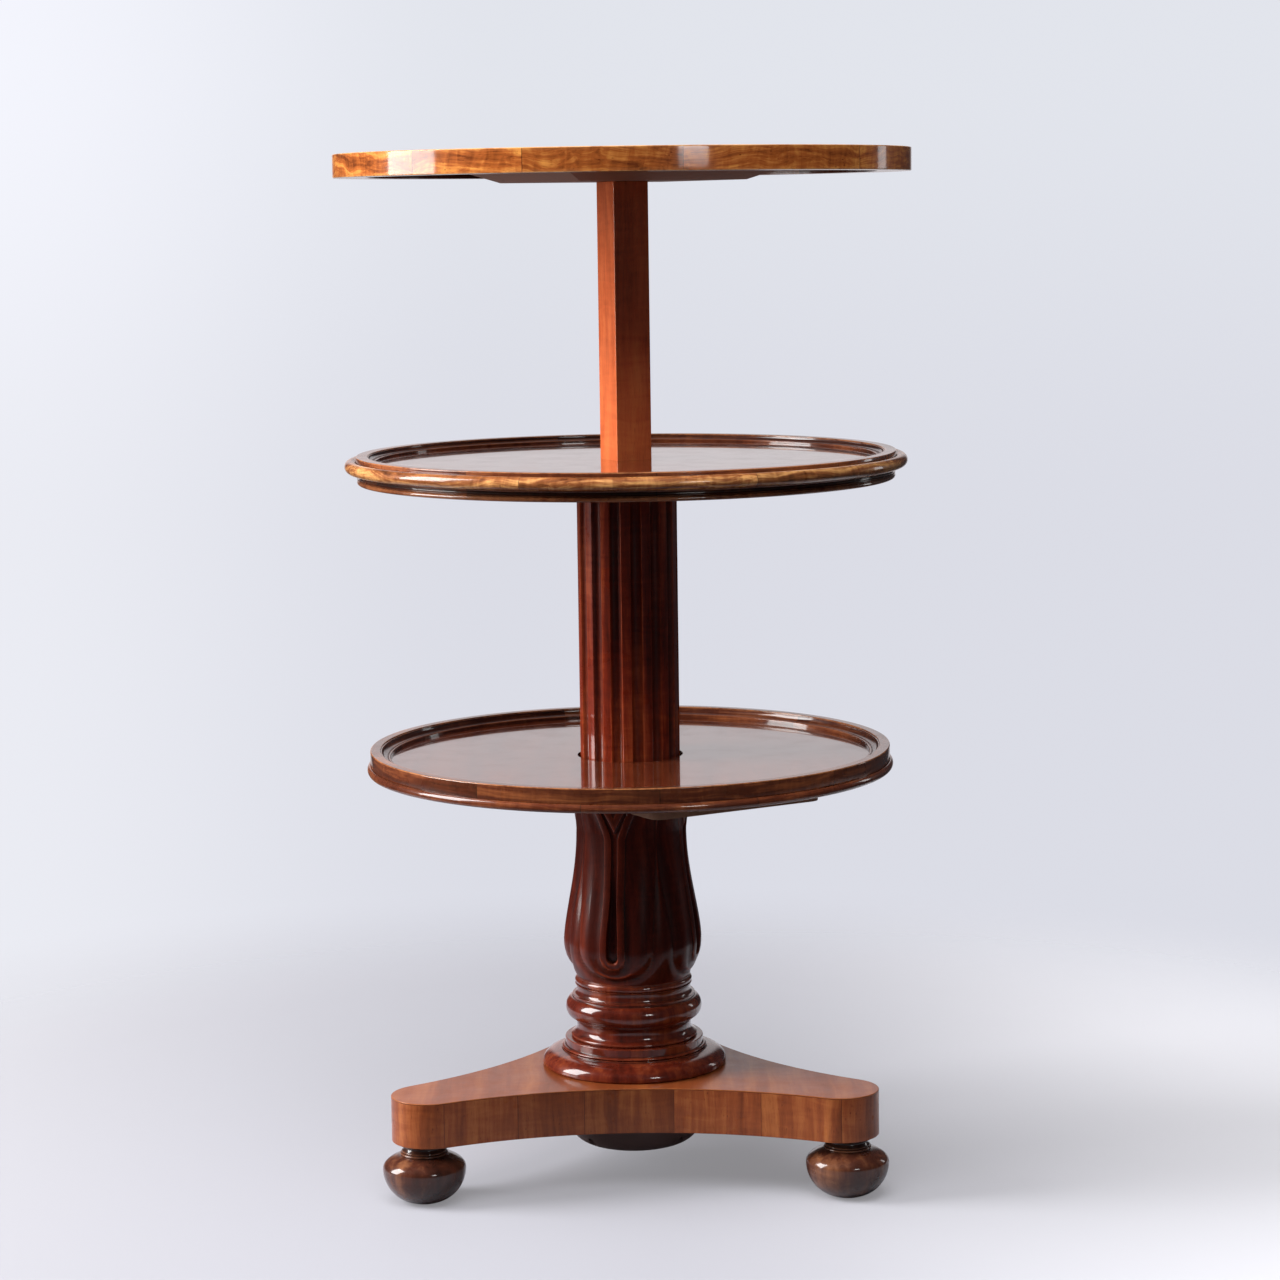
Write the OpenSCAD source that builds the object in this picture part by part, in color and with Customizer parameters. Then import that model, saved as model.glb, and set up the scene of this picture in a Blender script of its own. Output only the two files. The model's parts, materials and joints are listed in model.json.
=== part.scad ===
// Three-tier telescoping table on a carved pedestal, drawn raised to its full height.
// The origin is on the floor under the pedestal's axis. +Z is up and -Y is the front.
// The middle tray rides on the fluted column, which sinks into the carved baluster.
// The round top rides on a square post, which sinks into the fluted column.

/* [Heights] */
// Height of the bun feet, floor to platform
foot_h = 65.5; // [60:0.5:72]
// Thickness of the three-armed platform
platform_t = 48.5; // [42:0.5:56]
// Height of the moulded ring that stands on the platform
base_ring_h = 19; // [16:0.5:23]
// Height of the turned socle under the baluster
socle_h = 71; // [66:0.5:78]
// Height of the thin collar between socle and baluster
collar_h = 8; // [6.5:0.5:10]
// Height of the carved baluster
baluster_h = 213.4; // [203:0.2:223]
// Column length between the lower tray and the block above it
column_show = 288.8; // [275:0.2:298]
// Post length between the middle tray and the block above it
post_show = 293.7; // [280:0.1:305]

/* [Platform] */
// Distance from the axis to the tip of each arm
arm_reach = 291.3; // [280:0.1:300]
// Radius of each concave side
side_r = 450; // [420:5:500]
// Distance from the axis to the middle of each concave side
side_mid = 116; // [112:1:124]
// Thickness of the platform's veneers
veneer_t = 1.5; // [0.8:0.1:2.5]

/* [Feet] */
// Distance from the tip of each arm in to the middle of its foot
foot_inset = 32.8; // [29:0.2:41]
// Widest radius of a bun foot
bun_r = 44; // [40:0.5:48]
// Radius of the ring at the top of a foot
foot_ring_r = 27; // [25:0.5:30]
// Radius of a foot's neck
foot_neck_r = 21; // [19:0.5:22.5]
// Radius of the spigot that holds a foot in the platform
foot_spigot_r = 12.5; // [10:0.5:15]
// Length of the spigot that holds a foot in the platform
foot_spigot_h = 30; // [22:1:36]

/* [Pedestal] */
// Radius of the well that the column sinks into
well_r = 55.7; // [55.5:0.1:56.2]
// Widest radius of the moulded ring on the platform
base_ring_r = 100; // [94:1:106]
// Radius of the socle's plinth band
plinth_r = 75; // [72:0.5:78]
// Height of the socle's plinth band
plinth_h = 12; // [10:0.5:14]
// Widest radius of the socle's torus
torus_r = 74; // [71:0.5:77]
// Height of the socle's torus
torus_h = 22.5; // [20:0.5:25]
// Smallest radius of the socle's coves
cove_r = 62; // [60.5:0.5:64]
// Radius of the thin collar
collar_r = 63.7; // [62.7:0.1:66]
// Radius of the well's cap under the platform
cap_r = 74; // [70:1:80]
// Radius of the cap's flat bottom
cap_flat_r = 46; // [40:1:50]
// Thickness of the cap's floor
cap_floor_t = 8; // [6:0.5:10]

/* [Carved baluster] */
// Number of carved leaves
leaf_count = 4; // [3:1:4]
// Direction of the first leaf's middle, from +X
leaf_turn = -108; // [-130:1:-90]
// Width of a carved leaf
leaf_w = 93; // [86:0.5:94]
// Radius at the foot of the baluster
baluster_foot_r = 62.7; // [61.5:0.1:64]
// Widest radius of the baluster
bulge_r = 75.2; // [72:0.2:79]
// Height of the widest place above the baluster's foot
bulge_at = 40; // [34:1:46]
// Radius of the baluster's neck
neck_r = 60.1; // [59.8:0.1:62]
// Height of the neck above the baluster's foot
neck_at = 163; // [150:1:174]
// Radius at the head of the baluster
head_r = 66.5; // [64.5:0.5:69.5]
// Depth of the hairpin groove in each leaf at the bulge
hairpin_depth = 6; // [4:0.2:7.4]
// Depth of the hairpin groove at the neck
hairpin_neck_depth = 2.2; // [1.6:0.1:2.4]
// Half width of the hairpin groove at the neck
hairpin_half_w = 4; // [3.2:0.1:4.8]
// Half width of the hairpin groove by its round end
hairpin_wide = 6.6; // [5.4:0.1:7.4]
// Height of the hairpin's round end above the baluster's foot
hairpin_at = 26; // [22:0.5:30]
// Width of the raised lip beside the hairpin groove
lip_w = 7.2; // [6:0.2:8.4]
// Depth of the valleys between leaves at the bulge
leaf_relief = 3.6; // [2.4:0.1:4.6]
// Depth of the valleys between leaves at the neck
leaf_neck_relief = 2.4; // [1.8:0.1:2.6]
// Depth of the hidden leaves' tips between the leaves
back_relief = 1.4; // [1:0.1:1.8]

/* [Fluted column] */
// Radius of the fluted column over its lands
column_r = 53.7; // [53.2:0.1:54]
// Number of flutes
flute_count = 15; // [12:1:16]
// Radius of a flute's hollow
flute_r = 6.6; // [5.6:0.1:7]
// Depth of a flute
flute_depth = 4.75; // [3.6:0.05:5.4]
// Direction of the first land, from +X
land_turn = 123.7; // [118:0.1:130]
// Radius of the column's bore, which the post slides in
column_bore_r = 34; // [33:0.5:36]
// Step by which the column's plain foot is wider than its shaft
column_foot_step = 1.5; // [1.2:0.1:1.7]
// Length of the column's plain foot
column_foot_h = 100.1; // [91:0.1:107]
// Length of the tenon at the column's head
column_tenon_h = 5; // [4:0.5:5.5]
// Radius of the tenon at the column's head
column_tenon_r = 44; // [41:0.5:47]

/* [Square post] */
// Side of the square post
post_w = 41; // [38:0.2:41.6]
// Turn of the post and its blocks about the axis
post_turn = 26.6; // [20:0.1:35]
// Radius of the round guide on the post's foot
post_guide_r = 33.5; // [32:0.1:33.8]
// Length of the round guide on the post's foot
post_guide_h = 102.9; // [85:0.1:110]
// Side of the tenon at the post's head
post_tenon_w = 25; // [20:0.5:30]

/* [Lower tray] */
// Outside diameter of the lower tray's flat band
lower_tray_d = 560; // [540:2:566]
// Width of the raised ridge
lower_ridge_w = 11; // [9:0.5:13]
// Width of the moulding inside the ridge
lower_moulding_w = 11; // [9:0.5:14]
// Height of the ridge above the panel
lower_recess = 11; // [9.5:0.5:12]
// Height of the bead round the bottom edge
lower_bead_h = 9; // [7:0.5:11]
// How far the bottom bead stands out
lower_bead_out = 3.5; // [2.5:0.1:4.5]
// Length of the block under the lower tray
lower_block_l = 442; // [420:2:460]
// Width of the block under the lower tray
lower_block_w = 204; // [190:2:216]
// Thickness of the block under the lower tray
lower_block_t = 17; // [17:0.5:18.5]
// Turn of the block under the lower tray about the axis
lower_block_turn = 30.5; // [25:0.5:30.5]
// Radius of the lower tray's hole round the column
lower_hole_r = 57; // [56:0.2:60]

/* [Middle tray] */
// Outside diameter of the middle tray's ridge
mid_tray_d = 576; // [566:2:584]
// Width of the raised ridge
mid_ridge_w = 12.5; // [11:0.5:15]
// Width of the moulding inside the ridge
mid_moulding_w = 10.5; // [9:0.5:13]
// Height of the ridge above the panel
mid_recess = 8; // [7.5:0.5:10]
// Height of the whole rim
mid_rim_h = 29.5; // [28.5:0.5:30.5]
// Radius of the big bead round the rim
mid_bead_r = 6.8; // [6:0.1:7.4]
// Depth of the big bead's centre below the ridge
mid_bead_drop = 10.7; // [9.5:0.1:12]
// Side of the block under the middle tray
mid_block_w = 200; // [180:2:220]
// Thickness of the block under the middle tray
mid_block_t = 18.5; // [17.5:0.5:19.5]

/* [Top] */
// Diameter of the round top
top_d = 610; // [600:2:630]
// Thickness of the top's panel
top_panel_t = 12.5; // [11:0.5:16]
// Thickness of the lapping ring under the top's edge
lapping_t = 12; // [10:0.5:13]
// Width of the lapping ring
lapping_w = 35; // [33:0.5:45]
// Side of the block under the top, where it meets the top
top_block_w = 268; // [250:2:290]
// Side of the block under the top at its lower face
top_block_face_w = 194; // [180:2:210]
// Thickness of the block under the top
top_block_t = 19; // [18.5:0.5:19.5]

/* [Boards and fixings] */
// Thickness of the tray panels
panel_t = 12; // [11:0.5:13]
// How deep the tray mouldings are let into the panels
let_in = 0.5; // [0.3:0.1:1]
// Radius of the lower clamp screw's shank
lower_screw_r = 3; // [2.6:0.1:3.4]
// Radius of the lower clamp screw's knob
lower_knob_r = 8; // [7:0.2:8.4]
// Radius of the upper clamp screw's shank
upper_screw_r = 3; // [2.6:0.1:3.4]
// Radius of the upper clamp screw's knob
upper_knob_r = 8.2; // [7:0.2:8.6]
// Head radius of the wood screws
wood_screw_head_r = 5; // [4:0.2:6]
// Shank radius of the wood screws
wood_screw_r = 2.4; // [1.8:0.1:3]

/* [Fits] */
// Clearance each side of the column in its guide
column_fit = 0.5; // [0.4:0.05:0.7]
// Clearance each side of the post in its guide
post_fit = 0.4; // [0.3:0.05:0.6]
// Clearance round a glued spigot or a wood screw
glue_fit = 0.05; // [0.03:0.01:0.1]
// Clearance inside a moulding that is let into its panel
moulding_fit = 0.1; // [0.05:0.01:0.2]
// Clearance round a clamp screw in its nut
thread_fit = 0.05; // [0.03:0.01:0.1]
// Clearance where a stop or a clamp's tip nearly touches
rest_gap = 0.3; // [0.2:0.05:0.5]

/* [Hidden] */

$fn = 128;
// Steps in a small moulded curve and in a large one
small_steps = 6;
large_steps = 12;
// Small overlap past a face, so that a cut goes right through
through = 1;

// Directions of the three arms
back_turn = 90;
front_left_turn = 210;
front_right_turn = 330;
arms = [back_turn, front_left_turn, front_right_turn];
foot_at = arm_reach - foot_inset;

// Levels of the fixed pedestal
platform_z = foot_h;
platform_top = platform_z + platform_t;
socle_z = platform_top + base_ring_h;
collar_z = socle_z + socle_h;
baluster_z = collar_z + collar_h;
lower_block_z = baluster_z + baluster_h;

// Levels and radii of the lower tray
lower_panel_z = lower_block_z + lower_block_t;
lower_panel_top = lower_panel_z + panel_t;
lower_ridge_z = lower_panel_top + lower_recess;
lower_rim_drop = 2;
lower_rim_z = lower_panel_z - lower_rim_drop;
lower_rim_r = lower_tray_d / 2;
lower_rim_in = lower_rim_r - lower_ridge_w;

// Levels and radii of the middle tray
mid_block_z = lower_panel_top + column_show;
mid_panel_z = mid_block_z + mid_block_t;
mid_panel_top = mid_panel_z + panel_t;
mid_ridge_z = mid_panel_top + mid_recess;
mid_rim_z = mid_ridge_z - mid_rim_h;
mid_rim_r = mid_tray_d / 2;
mid_rim_in = mid_rim_r - mid_ridge_w;

// Levels and radii of the top
top_block_z = mid_panel_top + post_show;
top_panel_z = top_block_z + top_block_t;
top_z = top_panel_z + top_panel_t;
lapping_z = top_panel_z - lapping_t;
top_r = top_d / 2;
top_core_r = top_r - veneer_t;

// The tongue of a tray panel in the groove of its rim
tongue_w = 4;
tongue_t = panel_t / 2;

// The column, its travel and the well that it sinks into
column_hole_r = column_r + column_fit;
column_foot_r = column_r + column_foot_step;
column_z = lower_block_z - rest_gap - column_foot_h;
closed_gap = 0.5;
mid_travel = min(mid_rim_z - lower_ridge_z, mid_block_z - lower_panel_top) - closed_gap;
well_clear = 3.7;
well_floor_z = column_z - mid_travel - well_clear;
cap_z = well_floor_z - cap_floor_t;
cap_round = min(cap_r - cap_flat_r, platform_z - cap_z - 4);

// The post and its guide
post_hole_w = post_w + 2 * post_fit;
post_z = mid_block_z - rest_gap - post_guide_h;

// The clamp screws run through the blocks towards the axis
lower_clamp_turn = lower_block_turn;
lower_clamp_z = lower_block_z + lower_block_t / 2;
upper_clamp_turn = 90 + post_turn;
upper_clamp_z = mid_block_z + mid_block_t / 2;
knob_gap = 2;
lower_nut_l = 16;
upper_nut_l = 16;
nut_wall = 3;
nut_flange = 2;

// Places of the wood screws, from the middle of each block
lower_screw_x = lower_block_w / 2 - 26;
lower_screw_y = lower_block_l / 2 - 30;
mid_screw_at = mid_block_w / 2 - 22;
top_screw_at = top_block_face_w / 2 - 20;
cap_screw_at = (well_r + cap_r) / 2 + 0.5;
cap_screw_count = 4;
screw_end_gap = 4;
cap_screw_sink = 18;
cap_screw_l = 40;

// Points of an elliptical arc
function arc(cx, cz, rx, rz, a0, a1, steps) =
    [for (i = [0:steps]) let (a = a0 + (a1 - a0) * i / steps) [cx + rx * cos(a), cz + rz * sin(a)]];
function mix(a, b, t) = a + (b - a) * t;
function clamp01(t) = max(0, min(1, t));
// Smooth start and stop between 0 and 1
function ease(t) = (1 - cos(180 * clamp01(t))) / 2;

// A turned piece from its half section
module turned(profile) {
    rotate_extrude() polygon(profile);
}

// A plain ring between two radii
module ring(r_out, r_in, h) {
    difference() {
        cylinder(r = r_out, h = h);
        translate([0, 0, -through]) cylinder(r = r_in, h = h + 2 * through);
    }
}

// Points of a rectangle with round corners
function round_rect(l, w, r) = [
    for (c = [[1, 1, 0], [-1, 1, 90], [-1, -1, 180], [1, -1, 270]])
        each arc(c[0] * (l / 2 - r), c[1] * (w / 2 - r), r, r, c[2], c[2] + 90, small_steps)
];

// A slotted countersunk wood screw, head down at the origin and pointing up
module wood_screw(length) {
    head_h = wood_screw_head_r * 0.7;
    slot_w = 1.2;
    slot_h = 1.4;
    difference() {
        turned([
            [0, 0], [wood_screw_head_r, 0], [wood_screw_head_r, 0.5],
            [wood_screw_r, head_h], [wood_screw_r, length - 2 * wood_screw_r], [0, length]
        ]);
        translate([-wood_screw_head_r - through, -slot_w / 2, -through])
            cube([2 * (wood_screw_head_r + through), slot_w, slot_h + through]);
    }
}

// The hole that a wood screw fills
module wood_screw_hole(length, sink = 0) {
    head_h = wood_screw_head_r * 0.7;
    head_r = wood_screw_head_r + glue_fit;
    shank_r = wood_screw_r + glue_fit;
    turned([
        [0, -sink - through], [head_r, -sink - through], [head_r, 0.5 + glue_fit],
        [shank_r, head_h + glue_fit], [shank_r, length + glue_fit], [0, length + glue_fit]
    ]);
}

// Copies of the children at the corners of a rectangle
module at_corners(x, y) {
    for (sx = [-1, 1], sy = [-1, 1]) translate([sx * x, sy * y, 0]) children();
}

// Turns the children so that their +Z runs outwards, level, in one direction
module outwards(turn, z) {
    translate([0, 0, z]) rotate([0, 0, turn]) rotate([0, 90, 0]) children();
}

// Outline of the platform, drawn in from its true edge by a veneer's thickness.
// Each arm ends in an arc that runs smoothly into the concave sides beside it.
side_at = side_mid + side_r;
side_x = side_at * cos(60);
side_y = side_at * sin(60);
arm_end_r = (pow(side_x - arm_reach, 2) + side_y * side_y - side_r * side_r)
    / (2 * (side_r - side_x + arm_reach));
arm_end_at = arm_reach - arm_end_r;
arm_lean = atan2(side_y, side_x - arm_end_at);
side_steps = 2 * large_steps;
function arm_line(inset) = concat(
    arc(arm_end_at, 0, arm_end_r - inset, arm_end_r - inset, -arm_lean, arm_lean, large_steps),
    [for (i = [1:side_steps - 1])
        let (a = mix(180 + arm_lean, 300 - arm_lean, i / side_steps))
        [side_x + (side_r + inset) * cos(a), side_y + (side_r + inset) * sin(a)]]
);
function turn_point(p, a) = [p[0] * cos(a) - p[1] * sin(a), p[0] * sin(a) + p[1] * cos(a)];
function platform_outline(inset = 0) = [for (a = arms) each [for (p = arm_line(inset)) turn_point(p, a)]];

// Platform and its veneers
module base_core() {
    core_t = platform_t - veneer_t;
    color("#6b3a22") difference() {
        translate([0, 0, platform_z]) linear_extrude(core_t) polygon(platform_outline(veneer_t));
        translate([0, 0, platform_z - through]) cylinder(r = well_r, h = platform_t + 2 * through);
        for (a = arms) rotate([0, 0, a]) translate([foot_at, 0, platform_z - through])
            cylinder(r = foot_spigot_r + glue_fit, h = foot_spigot_h + through + 1);
        cap_screw_places() wood_screw_hole(cap_screw_l);
    }
}

module base_top_veneer() {
    color("#7d4526") difference() {
        translate([0, 0, platform_top - veneer_t]) linear_extrude(veneer_t) polygon(platform_outline());
        translate([0, 0, platform_z]) cylinder(r = well_r, h = platform_t + through);
    }
}

module base_edge_veneer() {
    edge_h = platform_t - veneer_t;
    color("#8a4c28") translate([0, 0, platform_z]) linear_extrude(edge_h) difference() {
        polygon(platform_outline());
        polygon(platform_outline(veneer_t));
    }
}

// Turned bun foot with its spigot
module bun_foot(turn) {
    heart_r = 8;
    bun_z = foot_h * 0.55;
    bun_top = foot_h * 0.26;
    step_z = bun_z + bun_top * sin(62);
    ring_h = 3.3;
    bead_h = 1.4;
    bead_w = 1.7;
    bead_at = foot_neck_r + 2.6;
    quirk_h = 1.1;
    quirk_w = 1.5;
    quirk_at = foot_neck_r + 1.3;
    neck_cove_h = 3;
    cove_z = foot_h - ring_h - neck_cove_h;
    color("#5a2a1a") rotate([0, 0, turn]) translate([foot_at, 0, 0]) turned(concat(
        [[0, 0], [heart_r + (bun_r - heart_r) * cos(77), 0]],
        arc(heart_r, bun_z, bun_r - heart_r, bun_z * 1.02, -76, 0, large_steps),
        arc(heart_r, bun_z, bun_r - heart_r, bun_top, 5, 62, large_steps - 2),
        arc(bead_at, step_z + bead_h, bead_w, bead_h, -80, 80, small_steps),
        arc(quirk_at, step_z + 2 * bead_h + quirk_h, quirk_w, quirk_h, -80, 80, small_steps),
        arc(foot_ring_r, cove_z, foot_ring_r - foot_neck_r, neck_cove_h, 200, 110, small_steps),
        arc(foot_ring_r - 1, foot_h - ring_h / 2, 1, ring_h / 2, -90, 90, small_steps),
        [[foot_spigot_r, foot_h], [foot_spigot_r, foot_h + foot_spigot_h], [0, foot_h + foot_spigot_h]]
    ));
}

module foot_front_left() { bun_foot(front_left_turn); }
module foot_front_right() { bun_foot(front_right_turn); }
module foot_back() { bun_foot(back_turn); }

// Moulded ring on the platform
module base_ring() {
    lip = 3;
    fillet_r = plinth_r + 4;
    swell = base_ring_r - fillet_r - 1;
    color("#5c2a1a") translate([0, 0, platform_top]) turned(concat(
        [[well_r, 0]],
        arc(base_ring_r - lip, lip, lip, lip, -90, 0, small_steps),
        arc(fillet_r + 1, lip, swell, base_ring_h - lip - 2, 8, 78, large_steps),
        [[fillet_r + 1, base_ring_h - 1.6], [fillet_r, base_ring_h - 1.2], [fillet_r, base_ring_h]],
        [[well_r, base_ring_h]]
    ));
}

// Turned socle: plinth band, cove, torus and cove
module column_socle() {
    foot_bead = 3.4;
    torus_z = socle_h * 0.634;
    neck_bead_r = cove_r + 4.5;
    low_cove_z = plinth_h + (torus_z - torus_h / 2 - plinth_h) / 2 + 1.5;
    low_cove_h = torus_z - torus_h / 2 - 1.5 - low_cove_z;
    high_z = torus_z + torus_h / 2;
    color("#5f2b1b") translate([0, 0, socle_z]) turned(concat(
        [[well_r, 0]],
        arc(plinth_r, foot_bead / 2, foot_bead, foot_bead / 2, -90, 80, small_steps),
        [[plinth_r, foot_bead + 0.6], [plinth_r, plinth_h - 0.5], [plinth_r - 0.5, plinth_h]],
        arc(neck_bead_r, plinth_h + 2, 2, 2, -90, 60, small_steps),
        arc(neck_bead_r, low_cove_z, neck_bead_r - cove_r, low_cove_h, 240, 120, large_steps),
        [[neck_bead_r, torus_z - torus_h / 2 - 1]],
        arc(torus_r - 8, torus_z, 8, torus_h / 2, -85, 85, large_steps),
        [[neck_bead_r, high_z + 0.6], [neck_bead_r, high_z + 3], [cove_r + 1.5, high_z + 3.4]],
        arc(cove_r + 2.5, mix(high_z + 3.4, socle_h, 0.5), 2.5, (socle_h - high_z - 3.4) / 2,
            250, 110, small_steps),
        [[cove_r + 1, socle_h], [well_r, socle_h]]
    ));
}

// Thin turned collar under the carved leaves
module socle_collar() {
    bead_h = collar_h - 1;
    color("#5f2b1b") translate([0, 0, collar_z]) turned(concat(
        [[well_r, 0]],
        arc(collar_r - 2.6, bead_h / 2, 2.6, bead_h / 2, -80, 80, large_steps),
        [[collar_r - 2, bead_h + 0.3], [collar_r - 2, collar_h], [well_r, collar_h]]
    ));
}

// Radius of the baluster's turned blank at a height above its foot
function baluster_r(z) =
    z < bulge_at ? mix(baluster_foot_r, bulge_r, sin(90 * z / bulge_at)) :
    z < neck_at ? mix(bulge_r, neck_r, ease(pow((z - bulge_at) / (neck_at - bulge_at), 0.8))) :
    mix(neck_r, head_r, pow((z - neck_at) / (baluster_h - neck_at), 1.2));

// How deep the carving still is at a height: 1 at the bulge, 0 at the neck
function carve_share(z) = 1 - ease((z - bulge_at - 10) / (neck_at - bulge_at - 33));

// Half of the space round the blank that each leaf has, and half the width of the leaf itself
function leaf_space(z) = baluster_r(z) * PI / leaf_count;
function leaf_half_w(z) = min(leaf_w / 2, leaf_space(z) - 0.6);

// Edge of a leaf: 0 on its middle line and 1 on its outline, which is round at the bottom
leaf_round_at = bulge_at - 1.4;
leaf_round_h = leaf_round_at - 4.6;
function leaf_edge(s, z) =
    let (across = abs(s) / leaf_half_w(z), down = max(0, leaf_round_at - z) / leaf_round_h)
    sqrt(across * across + down * down);

// The leaf falls to its outline, and the tip of a hidden leaf rises again beyond it
function leaf_drop(s, z) =
    let (edge = leaf_edge(s, z), relief = mix(leaf_neck_relief, leaf_relief, carve_share(z)))
    edge < 1 ? relief * pow(clamp01((edge - 0.66) / 0.34), 2) :
    mix(relief, back_relief, sin(90 * clamp01((edge - 1) / 0.2)));

// The hairpin groove: wide and round at the bottom, narrow above, and a fork at the top
hairpin_end = hairpin_at + hairpin_wide;
hairpin_wide_to = hairpin_end + 12;
hairpin_narrow_at = 100;
fork_at = neck_at - 5;
fork_spread = 28;
fork_half_w = 2.4;
function fork_share(z) = clamp01((z - fork_at) / (baluster_h - fork_at));
function fork(z) = fork_spread * pow(fork_share(z), 1.2);
function groove_w(z) =
    let (narrowing = ease((z - hairpin_wide_to) / (hairpin_narrow_at - hairpin_wide_to)))
    z < fork_at ? mix(hairpin_wide, hairpin_half_w, narrowing) :
    mix(hairpin_half_w, fork_half_w, clamp01(2 * fork_share(z)));

// Distance outwards from the groove's edge
function hairpin_dist(s, z) =
    z < hairpin_end ? sqrt(s * s + pow(hairpin_end - z, 2)) - hairpin_wide :
    abs(abs(s) - fork(z)) - groove_w(z);

// The groove's section: floor, wall, crowned lip and the hollow beside the lip
groove_wall_w = 1.5;
lip_crown = 0.35;
step_w = 0.8;
hollow_w = 5;
hollow_fade = 11;
function hairpin_drop(s, z) =
    let (
        d = hairpin_dist(s, z),
        share = carve_share(z),
        depth = mix(hairpin_neck_depth, hairpin_depth, share),
        hollow = mix(1, 1.9, share),
        step_at = lip_w + step_w,
        hollow_at = step_at + hollow_w
    )
    d < -groove_wall_w ? depth :
    d < 0 ? mix(depth, lip_crown, (d + groove_wall_w) / groove_wall_w) :
    d < lip_w ? lip_crown * pow(2 * d / lip_w - 1, 2) :
    d < step_at ? mix(lip_crown, hollow * 0.7, (d - lip_w) / step_w) :
    d < hollow_at ? mix(hollow * 0.7, hollow, sin(90 * (d - step_at) / hollow_w)) :
    mix(hollow, 0, ease((d - hollow_at) / hollow_fade));

function carved_r(s, z) = baluster_r(z) - max(leaf_drop(s, z), hairpin_drop(s, z));

// Places across half a leaf's space: by the groove, then shares of the leaf, then the hidden tip
function half_leaf(z) =
    let (lip_at = fork(z) + groove_w(z), step_at = lip_at + lip_w + step_w)
    concat(
        [for (d = [-groove_wall_w, 0, lip_w / 2, lip_w, lip_w + step_w]) lip_at + d],
        [for (f = [0.15, 0.3, 0.48, 0.66, 0.84, 1]) mix(step_at, max(leaf_half_w(z), step_at + 4), f)],
        [for (f = [0.2, 0.5, 1]) mix(leaf_half_w(z), leaf_space(z), f)]
    );
function leaf_places(z) =
    let (half = half_leaf(z), last = len(half) - 1)
    concat([for (i = [last - 1:-1:0]) -half[i]], [0], half);

// Rows of the loft, close together where the leaves and the hairpins turn
function rows_between(a, b, n) = [for (i = [1:n]) mix(a, b, i / n)];
carve_rows = concat(
    [0],
    rows_between(0, bulge_at + 8, 16),
    rows_between(bulge_at + 8, fork_at, 13),
    rows_between(fork_at, baluster_h, 11)
);

module baluster() {
    places = leaf_places(0);
    cols = leaf_count * len(places);
    rows = len(carve_rows);
    outer = [
        for (z = carve_rows)
            let (space = leaf_space(z), across = leaf_places(z))
            for (k = [0:leaf_count - 1], s = across)
                let (a = leaf_turn + 360 * (k + s / (2 * space)) / leaf_count, r = carved_r(s, z))
                [r * cos(a), r * sin(a), z]
    ];
    inner = [
        for (z = [0, baluster_h], j = [0:cols - 1])
            let (a = leaf_turn + 360 * ((j + 1) / len(places) - 0.5) / leaf_count)
            [well_r * cos(a), well_r * sin(a), z]
    ];
    bore_low = rows * cols;
    bore_high = bore_low + cols;
    sides = [
        for (i = [0:rows - 2], j = [0:cols - 1])
            let (n = (j + 1) % cols, a = i * cols + j, b = i * cols + n, c = b + cols, d = a + cols)
            each [[a, d, c], [a, c, b]]
    ];
    ends = [
        for (j = [0:cols - 1])
            let (n = (j + 1) % cols, top_row = (rows - 1) * cols)
            each [
                [j, n, bore_low + n], [j, bore_low + n, bore_low + j],
                [top_row + j, bore_high + n, top_row + n], [top_row + j, bore_high + j, bore_high + n],
                [bore_low + j, bore_low + n, bore_high + n], [bore_low + j, bore_high + n, bore_high + j]
            ]
    ];
    color("#4f2016") translate([0, 0, baluster_z]) polyhedron(concat(outer, inner), concat(sides, ends));
}

// Round cap that closes the well under the platform
module well_cap() {
    h = platform_z - cap_z;
    color("#2a1712") difference() {
        translate([0, 0, cap_z]) turned(concat(
            [[0, 0]],
            arc(cap_r - cap_round, cap_round, cap_round, cap_round, -90, 0, large_steps),
            [[cap_r, h], [0, h]]
        ));
        translate([0, 0, well_floor_z]) cylinder(r = well_r + 0.6, h = h);
        cap_screw_places() wood_screw_hole(cap_screw_l, cap_screw_sink);
    }
}

module cap_screw_places() {
    for (i = [0:cap_screw_count - 1])
        rotate([0, 0, 360 * (i + 0.5) / cap_screw_count])
            translate([cap_screw_at, 0, cap_z + cap_screw_sink]) children();
}

module well_cap_screws() {
    color("#4a4540") cap_screw_places() wood_screw(cap_screw_l);
}

// Block between the baluster and the lower tray
module lower_block() {
    corner_r = 14;
    color("#5b2f1e") difference() {
        translate([0, 0, lower_block_z]) rotate([0, 0, lower_block_turn])
            linear_extrude(lower_block_t) polygon(round_rect(lower_block_w, lower_block_l, corner_r));
        translate([0, 0, lower_block_z - through])
            cylinder(r = column_hole_r, h = lower_block_t + 2 * through);
        lower_screw_places() wood_screw_hole(lower_block_t + panel_t - screw_end_gap);
        outwards(lower_clamp_turn, lower_clamp_z)
            cylinder(r = lower_screw_r + 2 * thread_fit, h = lower_block_w);
        outwards(lower_clamp_turn, lower_clamp_z) translate([0, 0, lower_block_w / 2 - lower_nut_l])
            cylinder(r = lower_screw_r + nut_wall + glue_fit, h = lower_nut_l + through);
    }
}

module lower_screw_places() {
    rotate([0, 0, lower_block_turn]) translate([0, 0, lower_block_z])
        at_corners(lower_screw_x, lower_screw_y) children();
}

module lower_block_screws() {
    color("#4a4540") lower_screw_places() wood_screw(lower_block_t + panel_t - screw_end_gap);
}

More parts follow.
